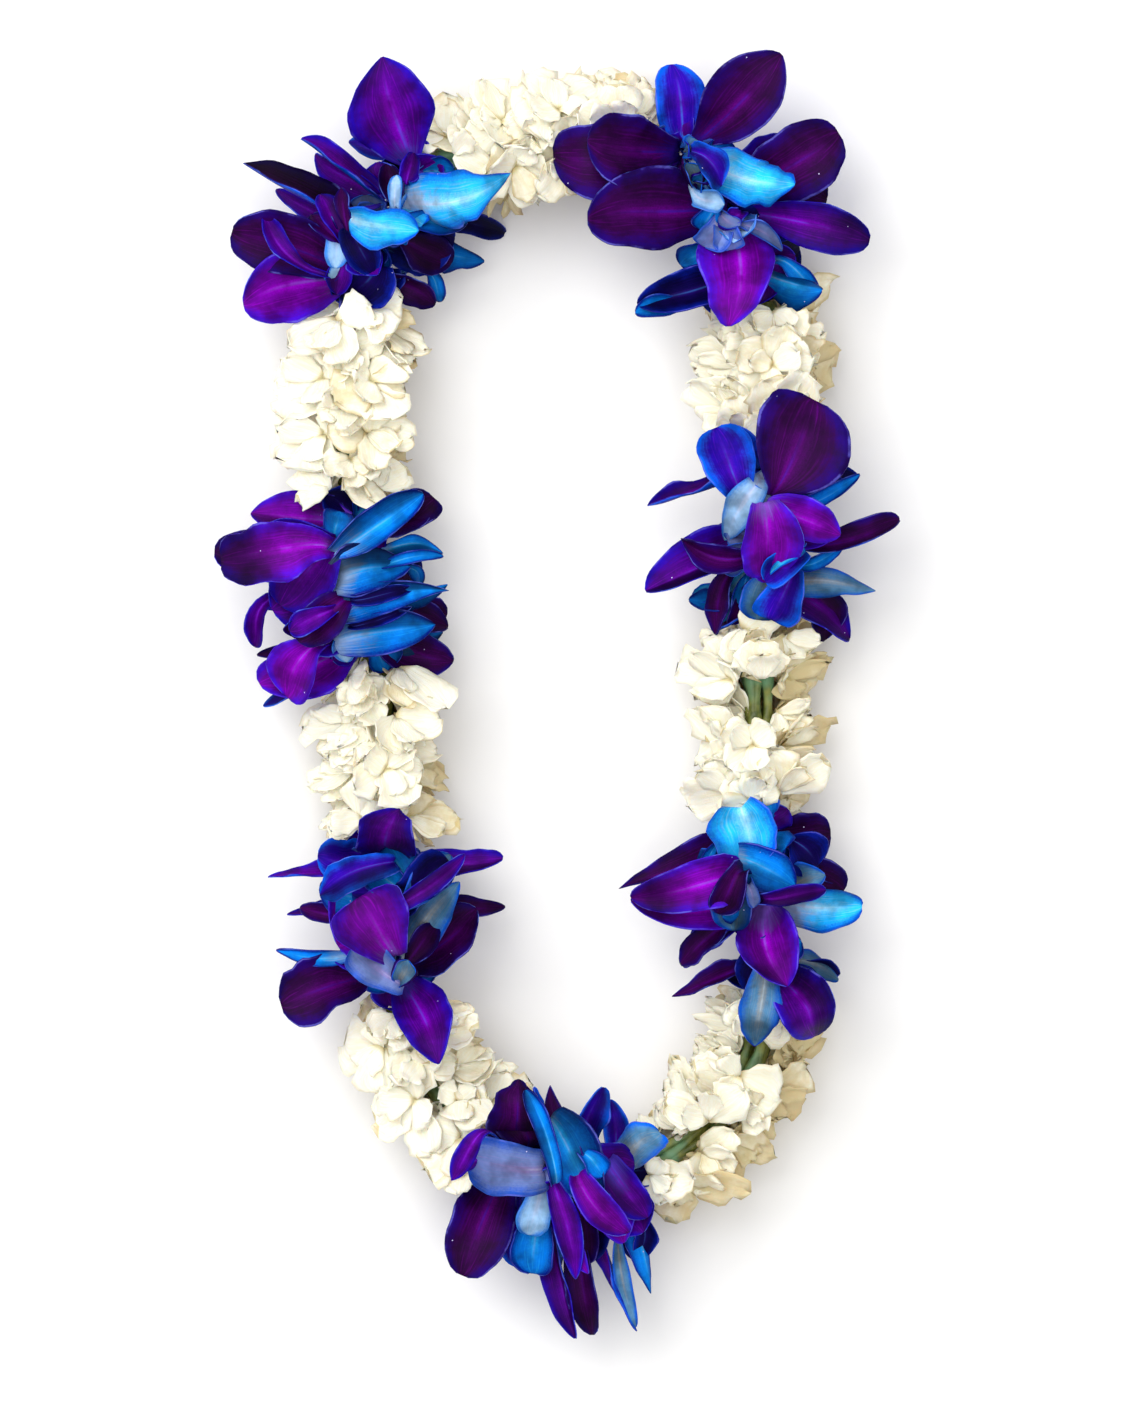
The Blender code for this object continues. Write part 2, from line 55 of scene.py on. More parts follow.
# The photograph: how many millimetres a pixel covers, and the pixel over the plan's middle.
PIXEL = 0.36
PHOTO_MIDDLE = (559, 697)

# The strand, as in the part's source: its centreline in plan, clockwise from the top left.
STRAND = (
    (-57, 184), (-43, 192), (-21, 198), (-10, 201), (15, 205), (44, 197), (63, 174), (72, 147),
    (75, 121), (74, 96), (75, 64), (74, 35), (72, 17), (72, -1), (71, -23), (72, -48),
    (74, -73), (74, -98), (71, -128), (58, -149), (40, -165), (15, -174), (-7, -170), (-28, -156),
    (-46, -138), (-57, -116), (-59, -95), (-63, -66), (-64, -44), (-65, -19), (-66, 3), (-70, 35),
    (-73, 60), (-75, 93), (-75, 118), (-72, 143), (-67, 168),
)
AXIS_HEIGHT = 22.0
SAMPLES_PER_SPAN = 24
# The strand's direction is measured over this many millimetres to each side.
NEARBY = 1.5
STRING_POINTS = 46

# Runs along the strand: kind, name, where it ends, and where each whorl or bloom sits in it.
RUNS = (
    ("white", "top", 90, (0.12, 0.38, 0.64, 0.90)),
    ("orchid", "top_right", 169, (0.22, 0.56, 0.85)),
    ("white", "right_upper", 220, (0.10, 0.47, 0.83)),
    ("orchid", "right_upper", 282, (0.17, 0.50, 0.83)),
    ("white", "right_middle", 352, (0.10, 0.34, 0.68, 0.92)),
    ("orchid", "right_lower", 418, (0.17, 0.50, 0.83)),
    ("white", "right_lower", 506, (0.16, 0.38, 0.60, 0.82)),
    ("orchid", "bottom", 556, (0.12, 0.38, 0.63, 0.88)),
    ("white", "left_lower", 622, (0.19, 0.49, 0.79)),
    ("orchid", "left_lower", 681, (0.17, 0.50, 0.83)),
    ("white", "left_middle", 747, (0.10, 0.37, 0.64, 0.90)),
    ("orchid", "left_upper", 800, (0.12, 0.38, 0.63, 0.88)),
    ("white", "left_upper", 876, (0.09, 0.35, 0.61, 0.87)),
    ("orchid", "top_left", 933, (0.12, 0.38, 0.63, 0.88)),
)
FIRST_RUN_START = 13


def rows_of(kind):
    """Writes a table's rows of that kind: the numbers and the look, then the form by name."""
    return lambda *row, **form: (kind, *row, form)


petal, sepal, lip = (rows_of(kind) for kind in ("petal", "sepal", "lip"))

# The petals that the part's source has, by bloom, bent clear of each other as they are there:
# the tip's place and height, the width, the roll in degrees and the look of the face. A form
# may give how slim the petal is, how wide its claw is, where it is widest, how pointed its tip
# is, its curl, its fold and twist in degrees, its wave and ragged edge, its sweep and the hook of
# its tip to the side, its tip's droop, its root's lift and how far its tip moves in plan in
# millimetres, how much more it arches, how light it is (partly painted shade), how dark one
# half is in painted shade (the left, if less than 0), how dark the tip is, and how far its pale
# base reaches.
BLOOMS = {
    "top_left_1": (
        petal(-118, 167, 38, 25, -25, "maroon", widest=0.6, point=0.45),
        petal(-114, 143, 44, 26, 0, "magenta", claw=0.12, widest=0.58, point=0.42, bow=-0.14),
        petal(-64, 141, 31, 28, -10, "navy", claw=0.6, widest=0.8, point=0.35, dark=0.6),
        sepal(-44, 143, 24, 17, 30, "maroon", slim=0.7, widest=0.6),
        lip(-81, 156, 44, 11, 180, "ice"),
    ),
    "top_left_2": (
        petal(-114, 192, 38, 23, 50, "maroon", slim=0.85, widest=0.45, point=0.95, fold=35,
              dark=0.7),
        sepal(-103, 182, 26, 17, 40, "violet", slim=0.62, widest=0.4),
        lip(-66, 151, 54, 14, 20, "violet"),
        petal(-38, 162, 32, 24, 20, "navy", claw=0.5, point=0.4, ragged=0.2),
        sepal(-27, 157, 14, 15, 170, "azure", slim=0.8, point=0.7, ragged=0.5),
    ),
    "top_left_3": (
        sepal(-17, 186, 56, 21, 184, "cyan", slim=0.98, claw=0.7, widest=0.36, point=1.05, curl=0.9,
              wave=2.2, ragged=0.3, sweep=-5, hook=2, bow=0.28, frost=0.09),
        sepal(-92, 202, 42, 17, 45, "violet", slim=0.72, fold=25, dark=-0.5),
        sepal(-89, 193, 28, 15, -35, "violet", slim=0.8),
        lip(-51, 167, 54, 14, 180, "cyan"),
        sepal(-19, 169, 4, 16, 17, "navy", slim=0.6, widest=0.6, point=0.4),
    ),
    "top_left_4": (
        petal(-66, 229, 55, 32, 0, "violet", claw=0.08, widest=0.54, point=0.92, curl=0.35, twist=0,
              ragged=0.1, sweep=0, frost=0.08),
        sepal(-42, 193, 35, 14, 20, "violet"),
        sepal(-76, 200, 20, 15, 150, "blue", slim=0.7),
        lip(-46, 177, 34, 13, 20, "navy"),
    ),
    "top_right_1": (
        petal(10, 198, 64, 27, 0, "maroon", claw=0.3, widest=0.6, point=0.42, curl=0.4),
        petal(-2, 191, 51, 29, 5, "maroon", point=0.42, curl=0.25, droop=7, bow=0.14),
        petal(80, 231, 50, 30, 0, "maroon", slim=0.86, claw=0.1, widest=0.6, point=0.72, curl=0.35,
              hook=0),
        sepal(42, 228, 36, 19, 0, "blue", claw=0.45, widest=0.55, point=0.45, curl=0.5),
        sepal(84, 182, 58, 19, 175, "cyan", claw=0.5, widest=0.5, point=0.7, wave=2.6, ragged=0.45,
              frost=0.12),
        lip(47, 197, 50, 14, 0, "violet", slim=0.8),
    ),
    "top_right_2": (
        petal(10, 175, 60, 30, -5, "maroon", claw=0.22, widest=0.52, point=0.45, curl=0.4, droop=-4,
              lift=11),
        petal(112, 165, 46, 21, 10, "violet", slim=0.84, claw=0.15, widest=0.66, point=0.45,
              tone=0.9, tip_dark=0.6),
        petal(64, 133, 57, 27, 0, "magenta", claw=0.45, widest=0.42, point=0.62, curl=0.5,
              ragged=0.15),
        petal(102, 201, 38, 27, 10, "maroon", claw=0.35, widest=0.6, point=0.42),
        sepal(83, 201, 24, 16, 0, "violet"),
        lip(63, 163, 50, 14, 0, "ice"),
    ),
    "top_right_3": (
        sepal(95, 147, 42, 18, 160, "azure", slim=0.8, claw=0.5, fold=30, tone=0.9, dark=0.6),
        sepal(28, 142, 35, 19, 10, "navy", slim=0.85, claw=0.25, widest=0.5, point=0.75, fold=20,
              bow=0.14),
        sepal(87, 161, 20, 17, 20, "navy"),
        petal(51, 143, 14, 22, 0, "navy"),
        lip(76, 143, 20, 12, 0, "azure"),
    ),
    "right_upper_1": (
        petal(94, 111, 60, 38, 14, "maroon", slim=0.45, claw=0.1, widest=0.57, point=0.6, curl=0.35,
              hook=0, droop=20, bow=0.28, move=(-4, -9)),
        petal(55, 96, 52, 24, -18, "blue", slim=0.6, claw=0.3, widest=0.66, point=0.5, droop=6,
              bow=0.14),
        sepal(32, 67, 34, 17, 50, "violet", slim=0.58, widest=0.6, point=0.8, fold=35, dark=0.5),
        sepal(108, 79, 34, 16, -35, "navy", slim=0.8, claw=0.5, widest=0.4, point=0.8),
        lip(63, 71, 50, 14, 180, "pale", slim=0.8, droop=6),
    ),
    "right_upper_2": (
        petal(101, 59, 52, 22, -10, "magenta", slim=0.8, claw=0.5, widest=0.45, point=0.75,
              curl=0.7, lift=2),
        petal(75, 41, 52, 23, 0, "magenta", slim=0.8, claw=0.5, widest=0.5, point=0.6, curl=0.6,
              lift=2),
        petal(31, 38, 42, 26, 30, "violet", slim=0.76, claw=0.35, widest=0.5, point=0.62, fold=20,
              hook=0, dark=-0.78),
        sepal(122, 67, 36, 19, -35, "maroon", slim=0.62, widest=0.6, point=0.5, curl=1.3, sweep=11),
        sepal(44, 50, 30, 14, 50, "navy", slim=0.9),
        lip(61, 55, 56, 13, 180, "pale", slim=0.7, claw=0.5, widest=0.7, point=0.5, droop=6,
            frost=0.45),
    ),
    "right_upper_3": (
        sepal(114, 37, 34, 17, 165, "teal", slim=0.68, claw=0.4, widest=0.35, point=1, sweep=3),
        sepal(57, 23, 26, 19, 48, "maroon", slim=0.7, twist=50),
        petal(78, 26, 35, 24, 0, "navy", slim=0.8, claw=0.4, widest=0.8, point=0.35, droop=8,
              tone=0.6),
        sepal(105, 21, 21, 18, -30, "violet", claw=0.3, sweep=-4, dark=0.4),
        lip(84, 44, 44, 12, 180, "blue"),
        sepal(47, 33, 26, 15, 30, "azure", slim=0.7),
    ),
    "right_lower_1": (
        petal(67, -38, 36, 22, 166, "cyan"),
        petal(98, -50, 28, 22, 0, "maroon", claw=0.3, tone=0.8),
        petal(21, -68, 41, 22, 40, "maroon", slim=0.72, claw=0.6, widest=0.34, point=1.15, fold=25),
        sepal(103, -67, 24, 15, -30, "maroon", slim=0.7, ragged=0.3),
        lip(81, -55, 50, 12, 180, "azure"),
    ),
    "right_lower_2": (
        petal(26, -77, 46, 25, 30, "magenta", slim=0.8, claw=0.5, widest=0.35, point=0.62,
              tip_dark=0.6),
        sepal(109, -75, 50, 20, 170, "cyan", slim=0.8, claw=0.7, widest=0.5, point=0.42, curl=0.9,
              dark=0.3, frost=0.36),
        petal(82, -104, 54, 25, 0, "magenta", slim=0.92, claw=0.25, widest=0.5, point=0.72, fold=15,
              sweep=4, hook=0, lift=15, dark=0.5, tip_dark=0.4, frost=0.12),
        sepal(44, -96, 30, 15, 40, "violet"),
        lip(59, -80, 56, 12, 180, "azure", slim=0.7, tone=0.6),
        sepal(95, -62, 44, 17, -20, "teal", slim=0.8),
    ),
    "right_lower_3": (
        sepal(72, -125, 62, 18, 175, "teal", slim=0.85, claw=0.5, widest=0.5, point=0.7, curl=0.5,
              sweep=1, hook=0, droop=-9, lift=21, bow=0.14, move=(-2, 0), tip_dark=0.5),
        petal(87, -122, 56, 25, 0, "violet", slim=0.84, claw=0.3, widest=0.66, point=0.5, fold=10,
              sweep=-2, hook=0, droop=14, lift=2, bow=0.14, move=(5, 0), dark=-0.6),
        sepal(101, -100, 26, 17, 160, "teal", slim=0.55, tone=0.8),
        sepal(41, -109, 38, 17, 40, "maroon", slim=0.48, point=1),
        lip(87, -109, 25, 12, 0, "navy"),
    ),
    "bottom_1": (
        sepal(35, -155, 58, 15, 180, "teal", claw=0.4, widest=0.6, point=0.42, tone=1.4,
              frost=0.25),
        sepal(33, -215, 34, 17, 140, "azure", slim=0.62, claw=0.7, widest=0.3, point=0.9, sweep=3,
              hook=0, frost=0.35),
        petal(33, -190, 48, 19, 8, "violet", claw=0.3, dark=-0.5),
        sepal(29, -203, 22, 14, 20, "navy", slim=0.8),
        sepal(18, -145, 28, 14, 12, "blue", slim=0.7),
    ),
    "bottom_2": (
        petal(25, -195, 50, 19, -20, "magenta", slim=0.8, claw=0.35, widest=0.62, point=0.6),
        sepal(12, -230, 34, 15, 20, "maroon", slim=0.76, widest=0.7, point=0.5, hook=0, droop=6,
              tone=0.6),
        sepal(28, -229, 28, 16, 60, "violet", slim=0.6, widest=0.4, twist=70),
        sepal(15, -140, 44, 15, 35, "blue", slim=0.75, widest=0.62, point=0.45, dark=0.4),
        lip(17, -186, 61, 12, 0, "navy"),
    ),
    "bottom_3": (
        petal(9, -208, 51, 20, 25, "magenta", slim=0.5, claw=0.6, widest=0.5, point=0.7, tone=0.9),
        sepal(1, -231, 31, 15, 30, "violet", slim=0.75, fold=20, sweep=4, hook=0, droop=-6,
              move=(5, 0), dark=-0.4),
        sepal(-9, -140, 46, 14, 69, "blue", slim=0.45, widest=0.7, point=0.4),
        sepal(-3, -207, 30, 17, 160, "azure", slim=0.9, claw=0.6),
        lip(-1, -163, 54, 12, 20, "violet"),
    ),
    "bottom_4": (
        petal(-36, -170, 68, 23, 175, "violet", slim=0.32, claw=0.6, widest=0.5, point=1.1,
              curl=0.9, hook=0, droop=18, lift=1, bow=0.14, move=(-2, 0)),
        petal(-15, -137, 58, 23, 0, "maroon", slim=0.95, claw=0.8, widest=0.32, point=0.85,
              ragged=0.35, bow=0.28, dark=0.55),
        petal(-35, -208, 46, 29, 0, "maroon", slim=0.8, claw=0.2, widest=0.62, point=0.42, hook=0),
        sepal(-15, -205, 28, 15, 150, "blue"),
        lip(-21, -174, 36, 12, 0, "violet"),
    ),
    "left_lower_1": (
        petal(-100, -111, 46, 26, 0, "maroon", slim=0.86, claw=0.1, widest=0.76, point=0.4,
              ragged=0.4, hook=0),
        petal(-42, -131, 67, 25, 0, "violet", slim=0.82, claw=0.3, widest=0.46, point=0.85,
              curl=0.5),
        sepal(-36, -66, 50, 18, 165, "teal", slim=0.85, claw=0.55, widest=0.42, point=0.85),
        petal(-29, -77, 39, 24, -30, "maroon", slim=0.9, point=0.6, ragged=0.2, tone=0.7),
        sepal(-102, -91, 26, 14, 45, "violet", slim=0.5, sweep=-3),
        lip(-71, -95, 40, 16, 180, "pale"),
    ),
    "left_lower_2": (
        petal(-81, -87, 50, 26, 15, "magenta", claw=0.3, widest=0.66, point=0.4),
        sepal(-98, -78, 28, 13, 50, "violet", slim=0.5),
        sepal(-19, -77, 24, 15, -30, "maroon", slim=0.6),
        sepal(-37, -89, 16, 15, 0, "maroon"),
        lip(-50, -69, 52, 12, 0, "navy"),
    ),
    "left_lower_3": (
        petal(-57, -40, 69, 26, 3, "violet", slim=0.88, claw=0.4, widest=0.45, point=1.1, wave=1.8,
              ragged=0.3, hook=0, bow=0.28, tone=0.7, dark=0.45),
        petal(-87, -58, 38, 19, 10, "blue", claw=0.5, widest=0.5, point=0.42),
        sepal(-105, -65, 34, 15, 50, "violet", slim=0.5, twist=40),
        sepal(-21, -61, 42, 19, -35, "violet", slim=0.62, widest=0.6, point=0.45, bow=-0.14,
              dark=0.6),
        petal(-77, -52, 30, 20, 0, "violet"),
        lip(-66, -68, 56, 12, 0, "blue"),
    ),
    "left_upper_1": (
        petal(-107, 3, 36, 22, 20, "magenta", claw=0.2, widest=0.6, point=0.42, bow=-0.14),
        sepal(-109, 15, 30, 14, 40, "maroon", slim=0.6, bow=-0.14),
        sepal(-106, -6, 22, 11, 36, "blue", slim=0.75),
        sepal(-42, 24, 24, 18, 165, "azure", slim=0.7, claw=0.6, widest=0.4, point=0.9, sweep=-3,
              dark=-0.7, frost=0.14),
        sepal(-38, 13, 26, 16, -2, "maroon", ragged=0.25),
    ),
    "left_upper_2": (
        petal(-93, 18, 46, 22, 0, "violet", claw=0.3),
        sepal(-111, 33, 30, 12, 40, "violet", slim=0.6),
        sepal(-40, 41, 46, 16, 160, "azure", slim=0.55, claw=0.8, widest=0.4, point=0.9, fold=20,
              sweep=-3, dark=-0.6, frost=0.06),
        sepal(-40, 25, 27, 14, -40, "maroon", slim=1.1, ragged=0.25),
        lip(-81, 31, 56, 12, 180, "ice"),
    ),
    "left_upper_3": (
        petal(-103, 31, 50, 28, -10, "violet", claw=0.3, widest=0.6, point=0.45),
        petal(-124, 52, 49, 22, 15, "magenta", claw=0.45, widest=0.4, point=0.4, tip_dark=0.8),
        sepal(-42, 55, 46, 15, 160, "azure", slim=0.55, claw=0.8, widest=0.4, point=0.9, fold=20,
              sweep=3, dark=-0.6, frost=0.06),
        sepal(-50, 44, 14, 14, -40, "maroon"),
        lip(-82, 44, 56, 12, 180, "ice"),
    ),
    "left_upper_4": (
        petal(-111, 67, 32, 19, 24, "magenta", slim=0.95, claw=0.45, widest=0.5, point=0.75,
              dark=-0.5),
        sepal(-50, 75, 30, 19, 151, "azure", slim=0.55, claw=0.6, widest=0.55, point=0.5, curl=1.2,
              dark=0.5, frost=0.08),
        sepal(-45, 67, 24, 16, -30, "maroon", tone=0.7),
        petal(-93, 72, 23, 20, -42, "maroon", bow=-0.14),
        lip(-79, 60, 47, 12, 180, "ice"),
    ),
}

# The petals that the photograph shows and the source doesn't have: the shoulder's and the tip's
# pixel and height, the width, the roll, the look and the form.
EXTRA_PETALS = {
    "top_left_1": (
        petal((334, 228, 46), (334, 269, 44), 10, 0, "ice", claw=0.7, point=0.6),
        lip((348, 250, 42), (333, 293, 36), 9, 0, "violet", dark=0.5),
        petal((372, 262, 40), (350, 300, 34), 20, 0, "navy", claw=0.6, point=0.4, tone=1.5),
        sepal((310, 260, 46), (264, 216, 44), 8, 20, "violet", claw=0.4, sweep=-4, tone=0.8),
        sepal((424, 272, 27), (438, 302, 22), 6, 0, "azure"),
    ),
    "top_left_2": (
        lip((352, 232, 54), (376, 278, 51), 13, 0, "navy", claw=0.7, widest=0.4, point=0.9),
        lip((346, 240, 50), (324, 194, 46), 10, 30, "violet", claw=0.5, dark=0.6),
        lip((348, 238, 52), (338, 190, 48), 6, -20, "maroon"),
        lip((340, 242, 50), (313, 214, 42), 8, 10, "maroon", point=0.8),
        petal((400, 232, 36), (452, 262, 30), 15, 0, "maroon", ragged=0.2, tone=0.6),
    ),
    "top_left_3": (
        petal((353, 220, 58), (419, 233, 57), 14, 0, "cyan", claw=0.5, widest=0.45, point=0.6,
              wave=2.2, ragged=0.5, frost=0.12),
        sepal((376, 222, 50), (352, 236, 50), 9, 0, "violet"),
        petal((396, 212, 48), (468, 226, 42), 12, -35, "azure", point=0.7, tone=0.7),
    ),
    "top_left_4": (
        sepal((394, 204, 40), (386, 164, 36), 9, 0, "maroon", tone=0.6),
        sepal((402, 184, 44), (412, 152, 40), 8, 20, "violet", dark=0.5),
        lip((398, 210, 52), (396, 176, 48), 5, 0, "ice", claw=0.6),
    ),
    "top_right_1": (
        lip((692, 160, 56), (724, 184, 56), 12, 0, "blue", claw=0.5, sweep=-3, dark=0.5),
        lip((693, 186, 52), (690, 164, 54), 8, 0, "teal", curl=2.4, tone=0.6),
        lip((702, 168, 52), (694, 184, 56), 6, 0, "azure", curl=2.4, tone=0.6),
        sepal((704, 158, 36), (738, 156, 30), 9, 0, "azure", tone=0.7),
        lip((712, 204, 46), (700, 230, 42), 11, 0, "azure"),
        lip((686, 146, 44), (696, 140, 48), 9, 0, "teal", curl=1.6),
        lip((694, 200, 52), (724, 206, 55), 8, 0, "ice", claw=0.6, point=0.8, tone=0.8),
    ),
    "top_right_2": (
        lip((722, 226, 46), (708, 250, 46), 12, 0, "pale", claw=0.7, point=0.4, frost=0.45),
        lip((730, 228, 46), (734, 250, 46), 11, 0, "pale", claw=0.7, point=0.4, tone=0.85,
            frost=0.25),
        sepal((738, 230, 44), (784, 243, 42), 6, 0, "pale", tone=0.8, frost=0.3),
        petal((740, 220, 34), (800, 228, 30), 15, 0, "navy", claw=0.5),
        lip((708, 238, 40), (678, 262, 34), 11, 0, "azure", tone=0.8),
        lip((722, 214, 46), (736, 230, 50), 7, 0, "pale", curl=2.2, tone=0.7),
        lip((742, 216, 44), (728, 222, 48), 6, 0, "violet", curl=2),
        petal((775, 184, 34), (828, 196, 32), 16, 0, "maroon", tone=0.7),
    ),
    "top_right_3": (
        sepal((688, 296, 40), (634, 303, 36), 8, 0, "azure", claw=0.4, point=0.5),
        sepal((782, 262, 34), (818, 294, 30), 8, 20, "azure", claw=0.5, curl=1.4),
    ),
    "right_upper_1": (
        petal((766, 490, 66), (813, 401, 65), 36, 0, "maroon", claw=0.1, widest=0.6, point=0.36,
              curl=0.4, sweep=3, hook=0),
        petal((742, 494, 57), (716, 428, 54), 20, 0, "blue", claw=0.4, widest=0.62, point=0.42,
              sweep=0),
        petal((758, 492, 62), (724, 541, 50), 12, 0, "ice", claw=0.8, widest=0.35, point=0.85,
              twist=25, hook=0, frost=0.12),
        sepal((756, 488, 59), (808, 508, 53), 5, 0, "ice", claw=0.9, sweep=2, tone=0.9),
        petal((780, 480, 36), (846, 487, 38), 10, -20, "navy", claw=0.8, point=0.9),
        sepal((772, 500, 44), (860, 476, 46), 6, 0, "azure", claw=0.5, sweep=5),
        petal((790, 474, 30), (835, 480, 28), 14, 0, "navy", claw=0.8),
    ),
    "right_upper_2": (
        petal((758, 506, 70), (768, 577, 60), 22, 0, "magenta", claw=0.5, widest=0.62, point=0.42,
              frost=0.35),
        petal((768, 512, 65), (840, 534, 62), 15, 0, "magenta", claw=0.6, widest=0.5, point=0.7,
              tone=1, frost=0.35),
        lip((742, 548, 56), (680, 544, 48), 12, 0, "maroon", claw=0.6, widest=0.4, point=1.1,
            fold=30, sweep=-4, hook=2),
        lip((800, 556, 60), (764, 582, 60), 11, 0, "blue", claw=0.7, point=0.5, curl=1.3),
        sepal((802, 552, 62), (766, 568, 62), 3, 0, "cyan", claw=0.7, tone=0.8),
        sepal((796, 560, 42), (842, 546, 42), 5, 0, "azure", claw=0.6),
        lip((752, 548, 52), (722, 572, 46), 12, 0, "pale", tone=0.7),
    ),
    "right_upper_3": (
        sepal((748, 572, 34), (720, 622, 26), 9, 0, "cyan", curl=1.4, tone=0.8),
        sepal((730, 574, 36), (712, 632, 30), 10, 20, "maroon", claw=0.5, twist=40),
        sepal((750, 578, 38), (733, 626, 32), 8, 0, "maroon", tone=0.7),
        petal((766, 570, 48), (758, 620, 42), 17, 0, "teal", hook=0, tone=0.75, dark=-0.5),
        sepal((720, 590, 28), (696, 604, 24), 6, 0, "cyan"),
        petal((812, 596, 24), (838, 632, 20), 15, 0, "maroon", claw=0.6),
        petal((798, 572, 54), (775, 622, 46), 17, 0, "blue", claw=0.35, widest=0.82, point=0.28,
              curl=0.5, dark=-0.4),
        sepal((745, 576, 40), (738, 616, 34), 7, 0, "azure", curl=1.4, tone=0.8),
    ),
    "right_lower_1": (
        petal((738, 806, 52), (758, 862, 54), 24, 0, "cyan", claw=0.55, widest=0.5, point=0.38,
              wave=1.6, ragged=0.2),
        petal((785, 864, 32), (844, 892, 26), 18, 0, "maroon", point=0.4, tone=0.7),
        lip((734, 858, 50), (700, 880, 40), 14, 30, "teal", tone=0.6),
        petal((790, 838, 40), (822, 860, 38), 17, 0, "navy", point=0.4),
        sepal((724, 846, 52), (704, 884, 42), 5, 0, "azure"),
    ),
    "right_lower_2": (
        petal((734, 862, 54), (796, 884, 51), 16, 0, "azure", claw=0.7, point=0.7, dark=0.4,
              frost=0.25),
        sepal((764, 889, 58), (824, 881, 56), 7, 0, "violet", claw=0.6, point=0.5, sweep=4,
              tone=0.8, dark=0.5),
        lip((748, 884, 58), (756, 906, 56), 5, 0, "pale", claw=0.6, point=0.9, tone=0.8),
        petal((736, 866, 52), (730, 930, 46), 16, 0, "teal", tone=0.7, dark=-0.6),
        petal((727, 872, 58), (632, 902, 50), 19, -10, "magenta", claw=0.9, widest=0.22, point=0.62,
              curl=0.7, sweep=-2, hook=2, tip_dark=0.7),
        lip((735, 868, 62), (717, 913, 57), 12, 0, "maroon", claw=0.5, point=0.8, hook=0, tone=0.9,
            dark=-0.5),
        petal((740, 862, 44), (700, 900, 42), 15, 0, "navy"),
    ),
    "right_lower_3": (
        sepal((732, 930, 36), (681, 966, 32), 11, 20, "maroon", wave=1.6, ragged=0.3),
        petal((770, 938, 40), (744, 990, 36), 14, 0, "navy", tone=0.8),
        sepal((728, 924, 34), (692, 946, 30), 10, 0, "violet"),
        sepal((806, 968, 28), (840, 978, 24), 7, 0, "navy", point=0.9),
    ),
    "bottom_4": (
        sepal((481, 1128, 70), (452, 1178, 67), 8, 0, "violet", claw=0.5, widest=0.6, point=1,
              curl=0.2, sweep=-1, hook=0),
        lip((544, 1182, 54), (531, 1234, 50), 12, 0, "ice", claw=0.5, point=0.5),
        petal((538, 1212, 44), (530, 1273, 40), 16, 0, "azure", claw=0.5, point=0.4, curl=1.3),
        lip((554, 1172, 54), (540, 1173, 57), 6, 0, "pale", curl=2.4),
        petal((530, 1140, 50), (506, 1100, 46), 18, 0, "maroon", claw=0.7, tone=0.6),
        petal((544, 1162, 58), (468, 1158, 60), 20, 0, "pale", claw=0.75, widest=0.7, point=0.28,
              curl=0.4, tone=0.85, frost=0.23),
    ),
    "bottom_3": (
        sepal((552, 1178, 65), (531, 1086, 70), 7, 0, "azure", claw=0.7, widest=0.7, point=0.5,
              sweep=2, hook=-2, dark=-0.5),
        sepal((582, 1160, 58), (545, 1086, 54), 11, 0, "maroon", claw=0.7, widest=0.3, point=1,
              sweep=-4),
        petal((594, 1164, 56), (546, 1110, 50), 13, 0, "azure", claw=0.7, dark=0.6),
        petal((546, 1120, 59), (592, 1206, 58), 20, 0, "azure", claw=0.5, widest=0.45, point=0.8,
              sweep=-2, dark=-0.6, frost=0.1),
        lip((582, 1152, 60), (604, 1174, 62), 9, 0, "azure", curl=1.2),
        sepal((552, 1180, 56), (582, 1276, 50), 10, 0, "violet", claw=0.6, point=0.9, tone=1.2),
    ),
    "bottom_2": (
        lip((586, 1190, 44), (580, 1264, 38), 14, 0, "maroon", tone=0.7),
        sepal((598, 1206, 40), (586, 1262, 34), 12, 0, "navy", tone=0.7),
        petal((582, 1160, 50), (634, 1156, 46), 14, 0, "violet", claw=0.6),
    ),
    "bottom_1": (
        sepal((627, 1230, 38), (636, 1328, 30), 6, 0, "teal", sweep=4, tone=1.1),
        petal((582, 1170, 61), (619, 1236, 60), 12, 0, "magenta", claw=0.5, widest=0.6, point=0.5,
              curl=1, sweep=2, tone=0.7),
        petal((610, 1160, 52), (648, 1216, 50), 15, 0, "violet", claw=0.7, widest=0.5, point=0.6,
              dark=0.4, frost=0.55),
        sepal((636, 1218, 38), (640, 1262, 30), 9, 0, "navy"),
    ),
    "left_lower_1": (
        petal((402, 984, 56), (352, 948, 54), 16, 0, "pale", claw=0.4, widest=0.8, point=0.35),
        lip((402, 982, 56), (414, 962, 60), 9, 0, "teal", curl=2.2, tone=0.8),
        petal((402, 962, 50), (432, 922, 44), 10, 0, "maroon", tone=0.6),
        lip((392, 984, 52), (372, 976, 50), 9, 0, "azure"),
        sepal((356, 966, 46), (346, 952, 40), 8, 0, "violet"),
    ),
    "left_lower_2": (
        petal((396, 954, 56), (360, 896, 61), 29, 0, "magenta", claw=0.3, widest=0.8, point=0.3,
              curl=0.7, hook=0, tone=0.66, frost=0.36),
        petal((398, 906, 58), (448, 852, 52), 12, 0, "teal", tone=0.7),
        sepal((392, 904, 60), (468, 858, 56), 7, 0, "violet", claw=0.7, sweep=2, tone=0.7),
        petal((388, 908, 44), (318, 894, 42), 15, 0, "azure", claw=0.6, dark=0.5),
        sepal((350, 912, 42), (300, 906, 36), 7, 0, "maroon"),
        sepal((354, 940, 46), (277, 950, 40), 6, 0, "azure", claw=0.7, point=0.9, sweep=-5, hook=0,
              frost=0.4),
    ),
    "left_lower_3": (
        petal((394, 868, 62), (318, 884, 56), 13, 0, "blue", claw=0.5, widest=0.7, point=0.8,
              ragged=0.3, sweep=3, hook=-4, dark=-0.7),
